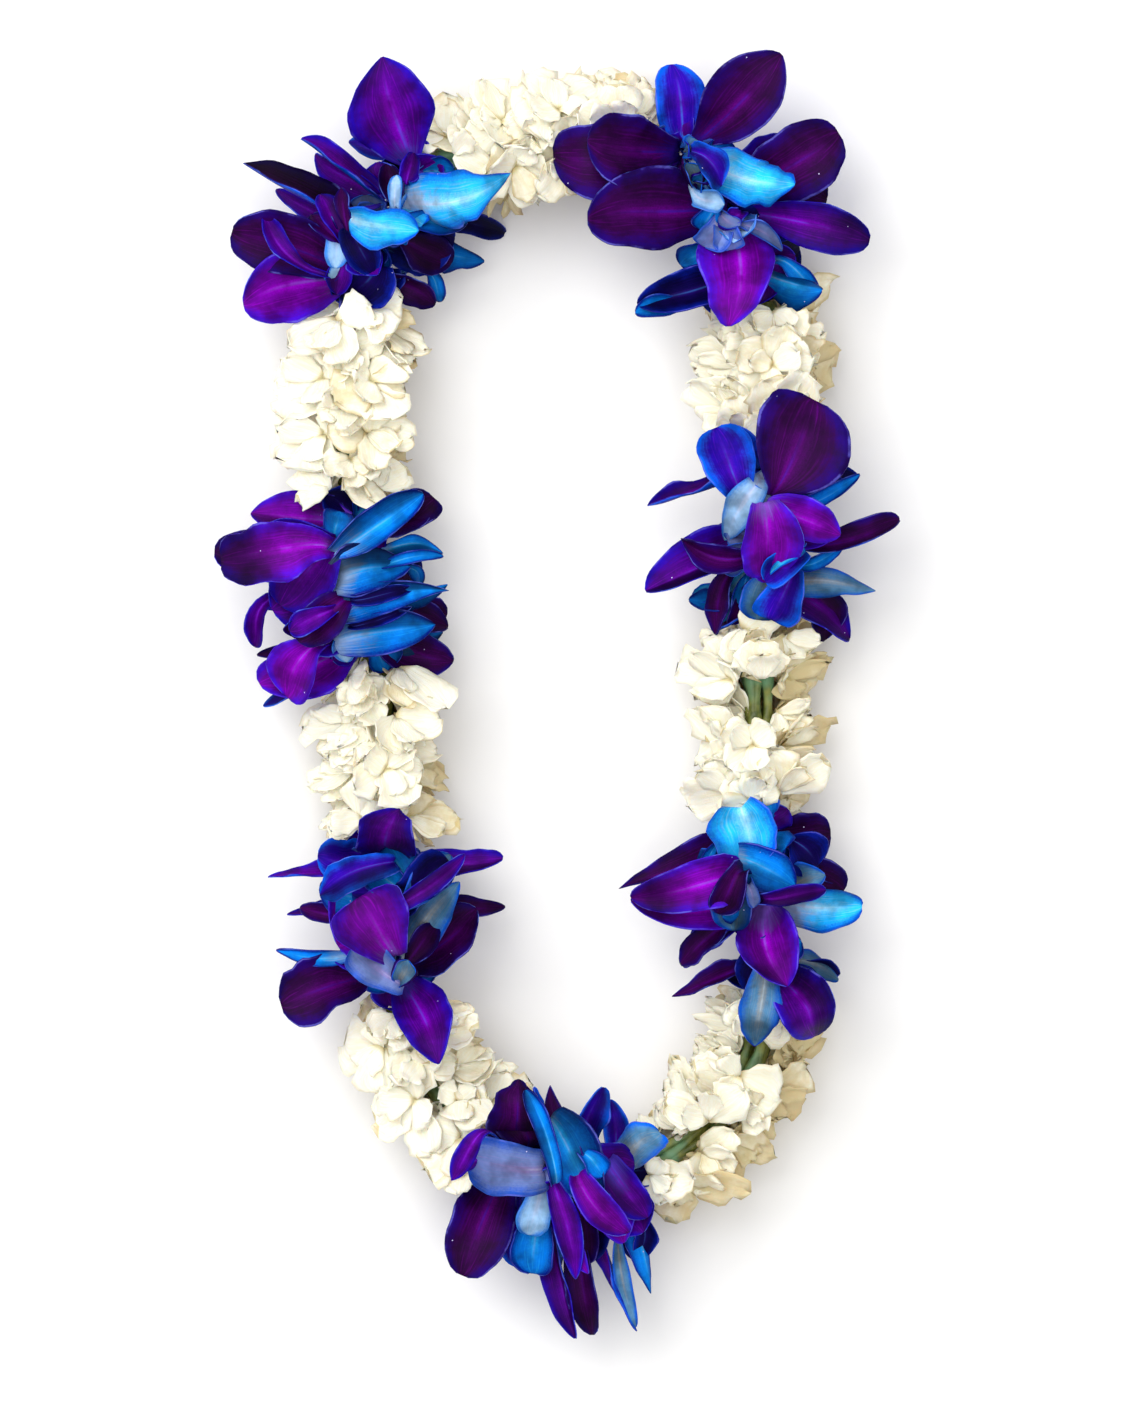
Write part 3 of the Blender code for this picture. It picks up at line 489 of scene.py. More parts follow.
        lip((400, 884, 56), (370, 864, 55), 14, 0, "azure", claw=0.5, twist=0, wave=0.5, tone=0.8),
        petal((404, 888, 58), (446, 856, 54), 16, 0, "navy", claw=0.5, point=0.45),
        petal((400, 890, 50), (352, 890, 46), 15, 0, "blue", wave=0.4, ragged=0, dark=-0.6),
        petal((402, 884, 54), (388, 846, 52), 14, 0, "azure", claw=0.5, tone=0.6),
    ),
    "left_upper_4": (
        petal((332, 550, 60), (422, 492, 53), 13, 0, "azure", claw=0.35, widest=0.5, point=0.55,
              curl=1.1, sweep=2, hook=1, dark=-0.55, tip_dark=-0.35, frost=0.4),
        petal((394, 528, 28), (428, 492, 26), 15, 0, "maroon", widest=0.7, point=0.38, tone=0.6),
        sepal((332, 540, 56), (262, 522, 50), 8, 0, "violet", claw=0.5, dark=-0.7),
        lip((336, 536, 54), (340, 512, 46), 11, 0, "azure", tone=0.7),
    ),
    "left_upper_3": (
        petal((338, 584, 58), (410, 562, 53), 19, 0, "azure", claw=0.6, widest=0.35, point=1,
              sweep=-3, hook=2, tone=0.85, dark=-0.75, frost=0.5),
        sepal((350, 596, 60), (416, 583, 54), 6, 0, "navy", claw=0.5, point=1, hook=2),
        sepal((380, 572, 54), (442, 551, 48), 4.5, 0, "azure", point=0.5, hook=2),
        sepal((404, 570, 44), (424, 583, 38), 6, 0, "azure", hook=2, tone=0.5),
        sepal((392, 566, 34), (422, 570, 30), 9, 0, "navy"),
        petal((336, 546, 58), (284, 608, 53), 23, 0, "violet", claw=0.4, widest=0.55),
        petal((316, 544, 67), (222, 560, 58), 21, 0, "magenta", claw=0.55, widest=0.4, point=0.28,
              twist=20, ragged=0.3, hook=0, tip_dark=0.85),
        lip((344, 556, 54), (338, 592, 54), 8, 0, "ice"),
    ),
    "left_upper_2": (
        petal((342, 598, 60), (298, 640, 56), 16, 15, "maroon", claw=0.5, widest=0.5, point=0.6),
        lip((336, 610, 62), (290, 630, 58), 9, 0, "violet", curl=1.6),
        lip((348, 592, 54), (336, 626, 54), 9, 0, "ice"),
        petal((338, 622, 57), (447, 583, 50), 13, 0, "azure", claw=0.5, widest=0.32, point=1.3,
              wave=1.8, sweep=-4, hook=3, dark=-0.75, tip_dark=-0.3, frost=0.42),
        sepal((352, 630, 58), (414, 612, 52), 5, 0, "navy", claw=0.5, point=1, hook=-2),
        petal((402, 606, 26), (446, 618, 24), 10, 0, "maroon", ragged=0.3),
        sepal((340, 626, 52), (352, 600, 54), 8, 0, "maroon"),
    ),
    "left_upper_1": (
        sepal((288, 612, 42), (264, 652, 36), 7, 0, "violet", claw=0.5, sweep=7),
        petal((320, 648, 48), (282, 692, 42), 20, 0, "magenta", claw=0.3, widest=0.6, point=0.42),
        sepal((346, 634, 46), (344, 662, 44), 8, 0, "ice", tone=0.9),
        petal((340, 650, 54), (437, 630, 49), 18, 0, "azure", claw=0.6, widest=0.4, point=0.85,
              wave=1.8, sweep=-4, hook=-2, dark=-0.65, frost=0.5),
        lip((318, 622, 54), (300, 642, 52), 10, 0, "maroon", curl=1.8),
    ),
}

# The fine petals: how many faces across and along, how thick, and each kind's own form.
PETAL_COLUMNS = 12
PETAL_ROWS = 18
PETAL_WALL = 0.4
PETAL_SEAM = 0.05
WIDEST_AT = {"petal": 0.60, "sepal": 0.50, "lip": 0.66}
CURL = {"petal": 0.55, "sepal": 0.9, "lip": 1.0}
WAVE = {"petal": 1.0, "sepal": 1.3, "lip": 1.6}
CLAW = {"petal": 0.16, "sepal": 0.30, "lip": 0.30}
TIP_POINT = {"petal": 0.52, "sepal": 0.60, "lip": 0.75}
PETAL_ARCH = 0.14
RIB_DEPTH = 0.5
SWELLING = 1.6
# How far a petal's root lies from the strand's middle, how far it is lifted, and how far above
# the strand's middle the neck is that the loose petals come from.
ROOT_OFFSET = 1.5
ROOT_LIFT = 9.0
NECK_RISE = 3
# A petal's direction is measured over this share of its length to each side.
NEARBY_SHARE = 0.02
FLOOR_HEIGHT = 0.5
# Where a loose petal's visible part starts: it comes from the neck over this shoulder.
SHOULDER = 0.32
# Painted shade on petals low in the cluster: by how much, over how many millimetres, and
# below which.
LOW_SHADE = 0.55
SHADE_HEIGHTS = (32, 42)
# The petal bases in a bloom's throat: how many, how far out and up their shoulders and tips
# are, how wide they are, how far they roll, and their looks.
THROAT_SCALES = 4
SCALE_SHOULDER = (3, 4)
SCALE_REACH = (12, 16)
SCALE_RISE = (4, 9)
SCALE_WIDTH = (12, 15)
SCALE_ROLL = (-20, 20)
THROAT_LOOKS = ("azure", "navy", "pale", "violet")

# Looks of an orchid petal as sRGB colours out of 255: core, edge, throat and streak.
LOOKS = {
    "maroon": ((46, 0, 62), (28, 2, 98), (50, 20, 150), (98, 0, 126)),
    "violet": ((64, 0, 118), (34, 6, 166), (88, 64, 204), (136, 0, 198)),
    "magenta": ((98, 0, 140), (66, 12, 196), (138, 92, 216), (178, 0, 230)),
    "navy": ((7, 2, 62), (2, 24, 132), (50, 100, 180), (32, 2, 98)),
    "blue": ((34, 4, 148), (0, 88, 222), (50, 112, 216), (92, 8, 192)),
    "azure": ((0, 111, 209), (0, 30, 132), (150, 182, 228), (38, 182, 250)),
    "cyan": ((30, 178, 250), (0, 84, 212), (196, 212, 240), (168, 232, 252)),
    "teal": ((74, 128, 170), (0, 84, 200), (176, 194, 206), (162, 160, 150)),
    "pale": ((106, 128, 188), (34, 80, 186), (184, 178, 216), (150, 128, 190)),
    "ice": ((150, 194, 234), (48, 124, 216), (206, 212, 238), (196, 208, 238)),
}
LOOK_NAMES = tuple(LOOKS)
# The look of each one's back.
BACK_LOOK = {
    "maroon": "blue", "violet": "blue", "magenta": "blue", "navy": "blue", "blue": "violet",
    "azure": "violet", "cyan": "violet", "teal": "maroon", "pale": "violet", "ice": "azure",
}


def srgb(*colour):
    """An sRGB colour out of 255 as the linear colour that a shader takes."""
    parts = [part / 255 for part in colour]
    return (*(p / 12.92 if p <= 0.04045 else ((p + 0.055) / 1.055) ** 2.4 for p in parts), 1)


# The strand as a smooth closed curve


def smooth_point(before, start, end, after, t):
    """A point between start and end on the smooth curve through all four."""
    return (
        start
        + (end - before) * (t / 2)
        + (before * 2 - start * 5 + end * 4 - after) * (t * t / 2)
        + (start * 3 - before - end * 3 + after) * (t**3 / 2)
    )


def sample_strand():
    corners = [Vector((x, y, AXIS_HEIGHT)) for x, y in STRAND]
    count = len(corners)
    points = []
    for i in range(count):
        span = corners[i - 1], corners[i], corners[(i + 1) % count], corners[(i + 2) % count]
        points += [smooth_point(*span, k / SAMPLES_PER_SPAN) for k in range(SAMPLES_PER_SPAN)]
    points.append(points[0])
    distances = [0.0]
    for a, b in zip(points, points[1:]):
        distances.append(distances[-1] + (b - a).length)
    return points, distances


POINTS, DISTANCES = sample_strand()
PERIMETER = DISTANCES[-1]


def strand_point(distance):
    distance %= PERIMETER
    low, high = 0, len(DISTANCES) - 1
    while high - low > 1:
        middle = (low + high) // 2
        if DISTANCES[middle] <= distance:
            low = middle
        else:
            high = middle
    t = (distance - DISTANCES[low]) / (DISTANCES[high] - DISTANCES[low])
    return POINTS[low].lerp(POINTS[high], t)


def strand_frame(distance):
    """The centre of the strand there, its direction, and the level direction across it."""
    ahead = (strand_point(distance + NEARBY) - strand_point(distance - NEARBY)).normalized()
    return strand_point(distance), ahead, UP.cross(ahead)


def at_strand(distance, across, up):
    centre, _, side = strand_frame(distance)
    return centre + side * across + Vector((0, 0, up))


def frame_shift():
    """How far the frame lies from the plan: the string's box against its own points."""
    ring = [strand_point(PERIMETER * i / STRING_POINTS) for i in range(STRING_POINTS)]
    low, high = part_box("string")
    shift = []
    for axis in range(2):
        middle = (min(p[axis] for p in ring) + max(p[axis] for p in ring)) / 2
        shift.append((low[axis] + high[axis]) / 2 / MILLIMETRE - middle)
    return Vector((*shift, 0))


SHIFT = frame_shift()


def linked(name, data):
    made = bpy.data.objects.new(name, data)
    bpy.context.scene.collection.objects.link(made)
    return made


def mesh_object(name, bm, materials):
    mesh = bpy.data.meshes.new(name)
    bm.to_mesh(mesh)
    bm.free()
    for material in materials:
        mesh.materials.append(material)
    return linked(name, mesh)


def placed(name, bm, materials, node):
    """The finished object: in metres, riding on the garland's body, standing for its node."""
    bm.transform(Matrix.Scale(MILLIMETRE, 4) @ Matrix.Translation(SHIFT))
    made = mesh_object(name, bm, materials)
    made.data.shade_smooth()
    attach(made, "root")
    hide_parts(node)
    return made


def walls(made, thickness, back=0, rim=0):
    """Gives a sheet its thickness, and the back and the rim their places in the materials."""
    modifier = made.modifiers.new("wall", "SOLIDIFY")
    modifier.thickness = thickness * MILLIMETRE
    modifier.offset = 0
    modifier.material_offset = back
    modifier.material_offset_rim = rim


# Node helpers


def group_named(name, inputs, outputs):
    """A shader group with its input and output nodes. Each socket is a number but for Color."""
    group = bpy.data.node_groups.new(name, "ShaderNodeTree")
    for way, labels in (("INPUT", inputs), ("OUTPUT", outputs)):
        for label in labels:
            kind = "NodeSocketColor" if label == "Color" else "NodeSocketFloat"
            group.interface.new_socket(label, in_out=way, socket_type=kind)
    return group, group.nodes.new("NodeGroupInput"), group.nodes.new("NodeGroupOutput")


class Wiring:
    """Short ways to add nodes to one tree. A value may be a number, a colour or a socket."""

    def __init__(self, tree):
        self.tree = tree

    def put(self, socket, value):
        if isinstance(value, bpy.types.NodeSocket):
            self.tree.links.new(value, socket)
        elif value is not None:
            socket.default_value = value

    def node(self, kind, **settings):
        made = self.tree.nodes.new(kind)
        for key, value in settings.items():
            setattr(made, key, value)
        return made

    def math(self, operation, a, b=None, c=None):
        made = self.node("ShaderNodeMath", operation=operation)
        for socket, value in zip(made.inputs, (a, b, c)):
            self.put(socket, value)
        return made.outputs[0]

    def ramp(self, value, low, high, to_low=0.0, to_high=1.0):
        """Eases from to_low to to_high as the value goes from low to high."""
        made = self.node("ShaderNodeMapRange", interpolation_type="SMOOTHSTEP")
        for socket, number in zip(made.inputs, (value, low, high, to_low, to_high)):
            self.put(socket, number)
        return made.outputs["Result"]

    def blend(self, share, a, b, mode="MIX"):
        made = self.node("ShaderNodeMix", data_type="RGBA", blend_type=mode)
        for index, value in ((0, share), (6, a), (7, b)):
            self.put(made.inputs[index], value)
        return made.outputs[2]

    def attribute(self, name):
        return self.node("ShaderNodeAttribute", attribute_name=name).outputs["Fac"]

    def veined(self, vein_group, lines, patch_scale):
        made = self.node("ShaderNodeGroup", node_tree=vein_group)
        made.inputs["Lines"].default_value = lines
        made.inputs["Patch Scale"].default_value = patch_scale
        return made.outputs

    def object_place(self):
        return self.node("ShaderNodeTexCoord").outputs["Object"]

    def noise(self, place, scale, detail=3.0):
        made = self.node("ShaderNodeTexNoise")
        made.inputs["Roughness"].default_value = 0.55
        for label, value in (("Vector", place), ("Scale", scale), ("Detail", detail)):
            self.put(made.inputs[label], value)
        return made.outputs["Fac"]

    def vector(self, x, y, z):
        made = self.node("ShaderNodeCombineXYZ")
        for socket, value in zip(made.inputs, (x, y, z)):
            self.put(socket, value)
        return made.outputs[0]

    def steps(self, value, colours):
        """One of the colours, picked by a value that goes up by one part for each."""
        made = self.node("ShaderNodeValToRGB")
        made.color_ramp.interpolation = "CONSTANT"
        stops = made.color_ramp.elements
        while len(stops) < len(colours):
            stops.new(1.0)
        for i, colour in enumerate(colours):
            stops[i].position = i / len(colours)
        for i, colour in enumerate(colours):
            stops[i].color = srgb(*colour)
        self.put(made.inputs["Fac"], value)
        return made.outputs["Color"]


def petal_uv(wires):
    """The petal's u and v, and how far from its middle line, from 0 to 1 at the edge."""
    split = wires.node("ShaderNodeSeparateXYZ")
    wires.put(split.inputs[0], wires.node("ShaderNodeUVMap", uv_map="petal").outputs[0])
    u, v = split.outputs[0], split.outputs[1]
    centred = wires.math("MULTIPLY_ADD", u, 2.0, -1.0)
    return u, v, wires.math("ABSOLUTE", centred)


def petal_vein_group():
    """Fine lines that run the length of a petal, and broad soft patches."""
    group, given, out = group_named(
        "petal_veins",
        ("Lines", "Patch Scale"),
        ("Veins", "Patches", "Grain", "Height"),
    )
    wires = Wiring(group)
    place = wires.object_place()
    u, v, _ = petal_uv(wires)
    spread = wires.math("MULTIPLY", wires.math("SUBTRACT", u, 0.5), given.outputs["Lines"])
    lines = wires.vector(spread, wires.math("MULTIPLY", v, 1.7), 0.0)
    veins = wires.noise(lines, 1.0, 4.0)
    patches = wires.noise(place, given.outputs["Patch Scale"], 3.0)
    grain = wires.noise(place, 1500.0, 2.0)
    height = wires.math("MULTIPLY_ADD", grain, 0.35, veins)
    for socket, value in zip(out.inputs, (veins, patches, grain, height)):
        wires.put(socket, value)
    return group


def orchid_paint_group(vein_group):
    """The colours of an orchid petal, by its look: dyed core, edge, throat, streak and specks,
    with painted shade and a painted highlight along the edge.
    """
    group, given, out = group_named(
        "orchid_paint",
        ("Look", "Tone and Shade", "Frost"),
        ("Color", "Roughness", "Height"),
    )
    wires = Wiring(group)
    look = given.outputs["Look"]
    core, edge, throat, streak = (
        wires.steps(look, [LOOKS[name][part] for name in LOOK_NAMES]) for part in range(4)
    )
    veins, patches, grain, height = wires.veined(vein_group, 24.0, 95.0)
    _, v, away = petal_uv(wires)
    uneven = wires.math("MULTIPLY_ADD", patches, 0.5, -0.52)
    uneven = wires.math("MULTIPLY_ADD", veins, 0.55, uneven)
    uneven = wires.math("MULTIPLY_ADD", grain, 0.3, wires.math("SUBTRACT", uneven, 0.15))
    toward_tip = wires.ramp(v, 0.7, 1.0, 0.0, 0.3)
    outward = wires.math("ADD", wires.math("ADD", away, uneven), toward_tip)
    colour = wires.blend(wires.ramp(outward, 0.44, 1.06), core, edge)
    inside = wires.ramp(outward, 0.3, 0.9, 0.55, 0.0)
    blotched = wires.math("MULTIPLY", wires.ramp(veins, 0.5, 0.7), inside)
    colour = wires.blend(blotched, colour, streak)
    middle = wires.ramp(wires.math("ADD", away, uneven), -0.05, 0.36, 1.0, 0.0)
    fading = wires.ramp(v, 0.3, 0.95, 1.0, 0.0)
    streaked = wires.math("MULTIPLY", middle, fading)
    streaked = wires.math("MULTIPLY", streaked, wires.ramp(veins, 0.25, 0.6))
    colour = wires.blend(streaked, colour, streak)
    along = wires.math("SUBTRACT", v, wires.math("MULTIPLY", given.outputs["Frost"], 0.6))
    along = wires.math("MULTIPLY_ADD", away, 0.2, along)
    mottled = wires.math("MULTIPLY_ADD", patches, 0.55, wires.math("MULTIPLY", veins, 0.5))
    lifted = wires.math("ADD", wires.math("SUBTRACT", mottled, 0.5), along)
    colour = wires.blend(wires.ramp(lifted, 0.02, 0.34, 1.0, 0.0), colour, throat)
    rib, fading = wires.ramp(away, 0.0, 0.07, 0.6, 0.0), wires.ramp(v, 0.2, 0.8, 1.0, 0.0)
    rib = wires.math("MULTIPLY", rib, fading)
    rib = wires.math("MULTIPLY", rib, wires.ramp(patches, 0.35, 0.55))
    colour = wires.blend(rib, colour, throat)
    # Random patches vary the dye; the vertex value adds each petal's lightness and painted shade.
    shade = wires.ramp(patches, 0.3, 0.72, 0.54, 1.42)
    shade = wires.math("MULTIPLY", shade, given.outputs["Tone and Shade"])
    colour = wires.blend(1.0, colour, wires.vector(shade, shade, shade), "MULTIPLY")
    cells = wires.node("ShaderNodeTexVoronoi")
    wires.put(cells.inputs["Vector"], wires.object_place())
    cells.inputs["Scale"].default_value = 190.0
    dot = wires.math("LESS_THAN", cells.outputs["Distance"], 0.045)
    tint = wires.node("ShaderNodeSeparateColor")
    wires.put(tint.inputs[0], cells.outputs["Color"])
    rare = wires.math("GREATER_THAN", tint.outputs[0], 0.78)
    colour = wires.blend(wires.math("MULTIPLY", dot, rare), colour, (0.6, 0.55, 0.85, 1))
    # Painted highlight: a thin light blue line along the petal's edge, in patches.
    thin = wires.ramp(wires.math("MULTIPLY_ADD", grain, 0.04, away), 0.95, 0.985)
    rim = wires.math("MULTIPLY", thin, wires.ramp(patches, 0.46, 0.64, 0.0, 0.5))
    colour = wires.blend(rim, colour, srgb(120, 120, 232))
    roughness = wires.ramp(patches, 0.3, 0.7, 0.46, 0.62)
    for socket, value in zip(out.inputs, (colour, roughness, height)):
        wires.put(socket, value)
    return group


def surface_material(name, specular):
    material = bpy.data.materials.new(name)
    material.use_nodes = True
    surface = material.node_tree.nodes["Principled BSDF"]
    surface.inputs["Specular IOR Level"].default_value = specular
    return material, Wiring(material.node_tree), surface


def painted(wires, surface, colour, roughness, height=None, strength=0.0, distance=0.0):
    """Gives a surface its colour and roughness and, from a height, its bumps."""
    wires.put(surface.inputs["Base Color"], colour)
    wires.put(surface.inputs["Roughness"], roughness)
    if height is not None:
        bump = wires.node("ShaderNodeBump")
        bump.inputs["Strength"].default_value = strength
        bump.inputs["Distance"].default_value = distance
        wires.put(bump.inputs["Height"], height)
        wires.put(surface.inputs["Normal"], bump.outputs[0])


def orchid_material(name, paint_group, look):
    material, wires, surface = surface_material(name, 0.05)
    paint = wires.node("ShaderNodeGroup", node_tree=paint_group)
    for socket, source in zip(paint.inputs, (look, "tone", "frost")):
        wires.put(socket, wires.attribute(source))
    painted(wires, surface, *paint.outputs, 0.35, 0.0006)
    return material


def rim_material():
    """The cut edge of a dyed petal: its own edge colour, with a painted highlight in places."""
    material, wires, surface = surface_material("orchid_rim", 0.1)
    edge = wires.steps(wires.attribute("look"), [LOOKS[name][1] for name in LOOK_NAMES])
    patches = wires.noise(wires.object_place(), 110.0)
    # Painted highlight: a light blue laid on the edge in patches.
    colour = wires.blend(wires.ramp(patches, 0.5, 0.66, 0.0, 0.5), edge, srgb(104, 136, 246))
    roughness = wires.ramp(patches, 0.3, 0.7, 0.45, 0.6)
    painted(wires, surface, colour, roughness, patches, 0.2, 0.0004)
    return material


def white_material(vein_group):
    """Waxy ivory petals: buff painted shade where they face down or away from the light and at
    their edges, browner in the dimple, cream along the veins.
    """
    material, wires, surface = surface_material("white_blossom", 0.4)
    veins, patches, _, height = wires.veined(vein_group, 14.0, 160.0)
    _, v, away = petal_uv(wires)
    cream = wires.blend(wires.ramp(veins, 0.35, 0.7), srgb(255, 252, 238), srgb(252, 243, 216))
    # Painted shade towards buff: from the vertex value, towards each tepal's edge, and in patches.
    shadow = wires.math("SUBTRACT", patches, 0.5)
    shadow = wires.math("MULTIPLY_ADD", shadow, 0.9, wires.attribute("painted_shade"))
    shadow = wires.math("MULTIPLY_ADD", wires.ramp(away, 0.8, 1.0), 0.3, shadow)
    colour = wires.blend(wires.ramp(shadow, 0.25, 1.0), cream, srgb(214, 197, 150))
    dimple = wires.ramp(v, 0.02, 0.16, 0.7, 0.0)
    colour = wires.blend(dimple, colour, srgb(206, 186, 120))
    surface.inputs["Subsurface Weight"].default_value = 0.12
    surface.inputs["Subsurface Scale"].default_value = 0.002
    roughness = wires.ramp(patches, 0.3, 0.7, 0.42, 0.6)
    painted(wires, surface, colour, roughness, height, 0.4, 0.0008)
    return material


def green_material():
    """Olive flower tubes with moss and sage patches."""
    material, wires, surface = surface_material("green_tubes", 0.4)
    patches, broad = (wires.noise(wires.object_place(), *by) for by in ((210.0, 4.0), (55.0, 2.0)))
    colour = wires.blend(wires.ramp(patches, 0.3, 0.7), srgb(64, 78, 20), srgb(136, 138, 66))
    colour = wires.blend(wires.ramp(broad, 0.46, 0.6), colour, srgb(104, 150, 112))
    roughness = wires.ramp(patches, 0.3, 0.7, 0.35, 0.55)
    painted(wires, surface, colour, roughness, patches, 0.4, 0.0008)
    return material


def string_material():
    material, wires, surface = surface_material("cotton_string", 0.2)
    fibres = wires.noise(wires.object_place(), 1400.0, 4.0)
    colour = wires.blend(fibres, srgb(196, 182, 146), srgb(240, 232, 208))
    painted(wires, surface, colour, 0.85, fibres, 0.6, 0.0004)
    return material


# Orchid petals


class Blade:
    """A petal, sepal or lip along an arched line from the neck to its tip."""

    root_lift = ROOT_LIFT

    def __init__(self, kind, centre, tip, width, roll, bow):
        self.kind, self.width, self.roll = kind, width, math.radians(roll)
        away = Vector(tip) - centre
        self.root = centre + Vector((away.x, away.y, 0)).normalized() * ROOT_OFFSET
        self.chord = Vector(tip) - self.root
        self.arch = (PETAL_ARCH + bow) * self.chord.length

    def spine(self, t):
        return self.root + self.chord * t + Vector((0, 0, self.arch * math.sin(math.pi * t)))

    def half_width(self, t, form):
        """The outline: a narrow claw, a broad blade and a rounded or pointed tip."""
        half = self.width / 2 * form.get("slim", 1.0)
        widest = form.get("widest", WIDEST_AT[self.kind])
        if t < widest:
            claw = form.get("claw", CLAW[self.kind])
            return half * (claw + (1 - claw) * math.sin(math.pi / 2 * t / widest) ** 1.35)
        share = (t - widest) / (1 - widest)
        return half * max(0.0, 1 - share * share) ** form.get("point", TIP_POINT[self.kind])

    def ahead_at(self, t):
        return (self.spine(t + NEARBY_SHARE) - self.spine(t - NEARBY_SHARE)).normalized()

    def frame_at(self, t):
        """The direction ahead, the direction across and the way that the face looks."""
        ahead = self.ahead_at(t)
        side = Matrix.Rotation(self.roll, 3, ahead) @ ahead.cross(UP).normalized()
        return ahead, side, side.cross(ahead)


def seen(across, down, height):
    """The place in plan under a pixel of the photograph, at a height in millimetres."""
    middle = PHOTO_MIDDLE
    return Vector(((across - middle[0]) * PIXEL, (middle[1] - down) * PIXEL, height))


class LooseBlade(Blade):
    """A petal that the part's source doesn't have: from the neck over a shoulder to its tip."""

    root_lift = 0.0

    def __init__(self, kind, neck, shoulder, tip, width, roll):
        self.kind, self.width, self.roll = kind, width, math.radians(roll)
        self.neck, self.shoulder, self.tip = neck, shoulder, tip
        self.along = tip - shoulder
        self.level_side = Vector((self.along.y, -self.along.x, 0)).normalized()

    def spine(self, t):
        if t < SHOULDER:
            before = self.neck * 2 - self.shoulder
            return smooth_point(before, self.neck, self.shoulder, self.tip, t / SHOULDER)
        share = (t - SHOULDER) / (1 - SHOULDER)
        after = self.tip + self.along * 0.8 - Vector((0, 0, 0.3 * self.along.length))
        return smooth_point(self.neck, self.shoulder, self.tip, after, share)

    def half_width(self, t, form):
        share = (t - SHOULDER) / (1 - SHOULDER)
        if share > 0:
            return super().half_width(share, form)
        return super().half_width(0, form) * (0.3 + 0.7 * (t / SHOULDER) ** 2)

    def frame_at(self, t):
        ahead = self.ahead_at(t)
        side = Matrix.Rotation(self.roll, 3, ahead) @ self.level_side
        side = (side - ahead * side.dot(ahead)).normalized()
        return ahead, side, side.cross(ahead)


def look_value(look):
    return (LOOK_NAMES.index(look) + 0.5) / len(LOOK_NAMES)


def eased(share):
    share = min(1.0, max(0.0, share))
    return share * share * (3 - 2 * share)


def painted_shade_and_tone(form, across, t):
    """How light a place on the petal is: one half may be darker in painted shade, as of a fold
    turned from the light, and the tip may be darker than the rest.
    """
    dark = form.get("dark", 0.0)
    side = across if dark > 0 else -across
    tip = 1 - form.get("tip_dark", 0) * eased(t * 3 - 1.5)
    return (1 - abs(dark) * eased(side * 3 + 0.3)) * tip


def petal_layers(bm):
    names = "look", "look_back", "tone", "frost"
    return bm.loops.layers.uv.new("petal"), *(bm.verts.layers.float.new(name) for name in names)


def sheet(bm, columns, rows):
    made = bmesh.ops.create_grid(bm, x_segments=columns, y_segments=rows, size=1, calc_uvs=True)
    return made["verts"]


def any_seed(chance):
    return Vector((chance.uniform(0, 90), chance.uniform(0, 90), 0))


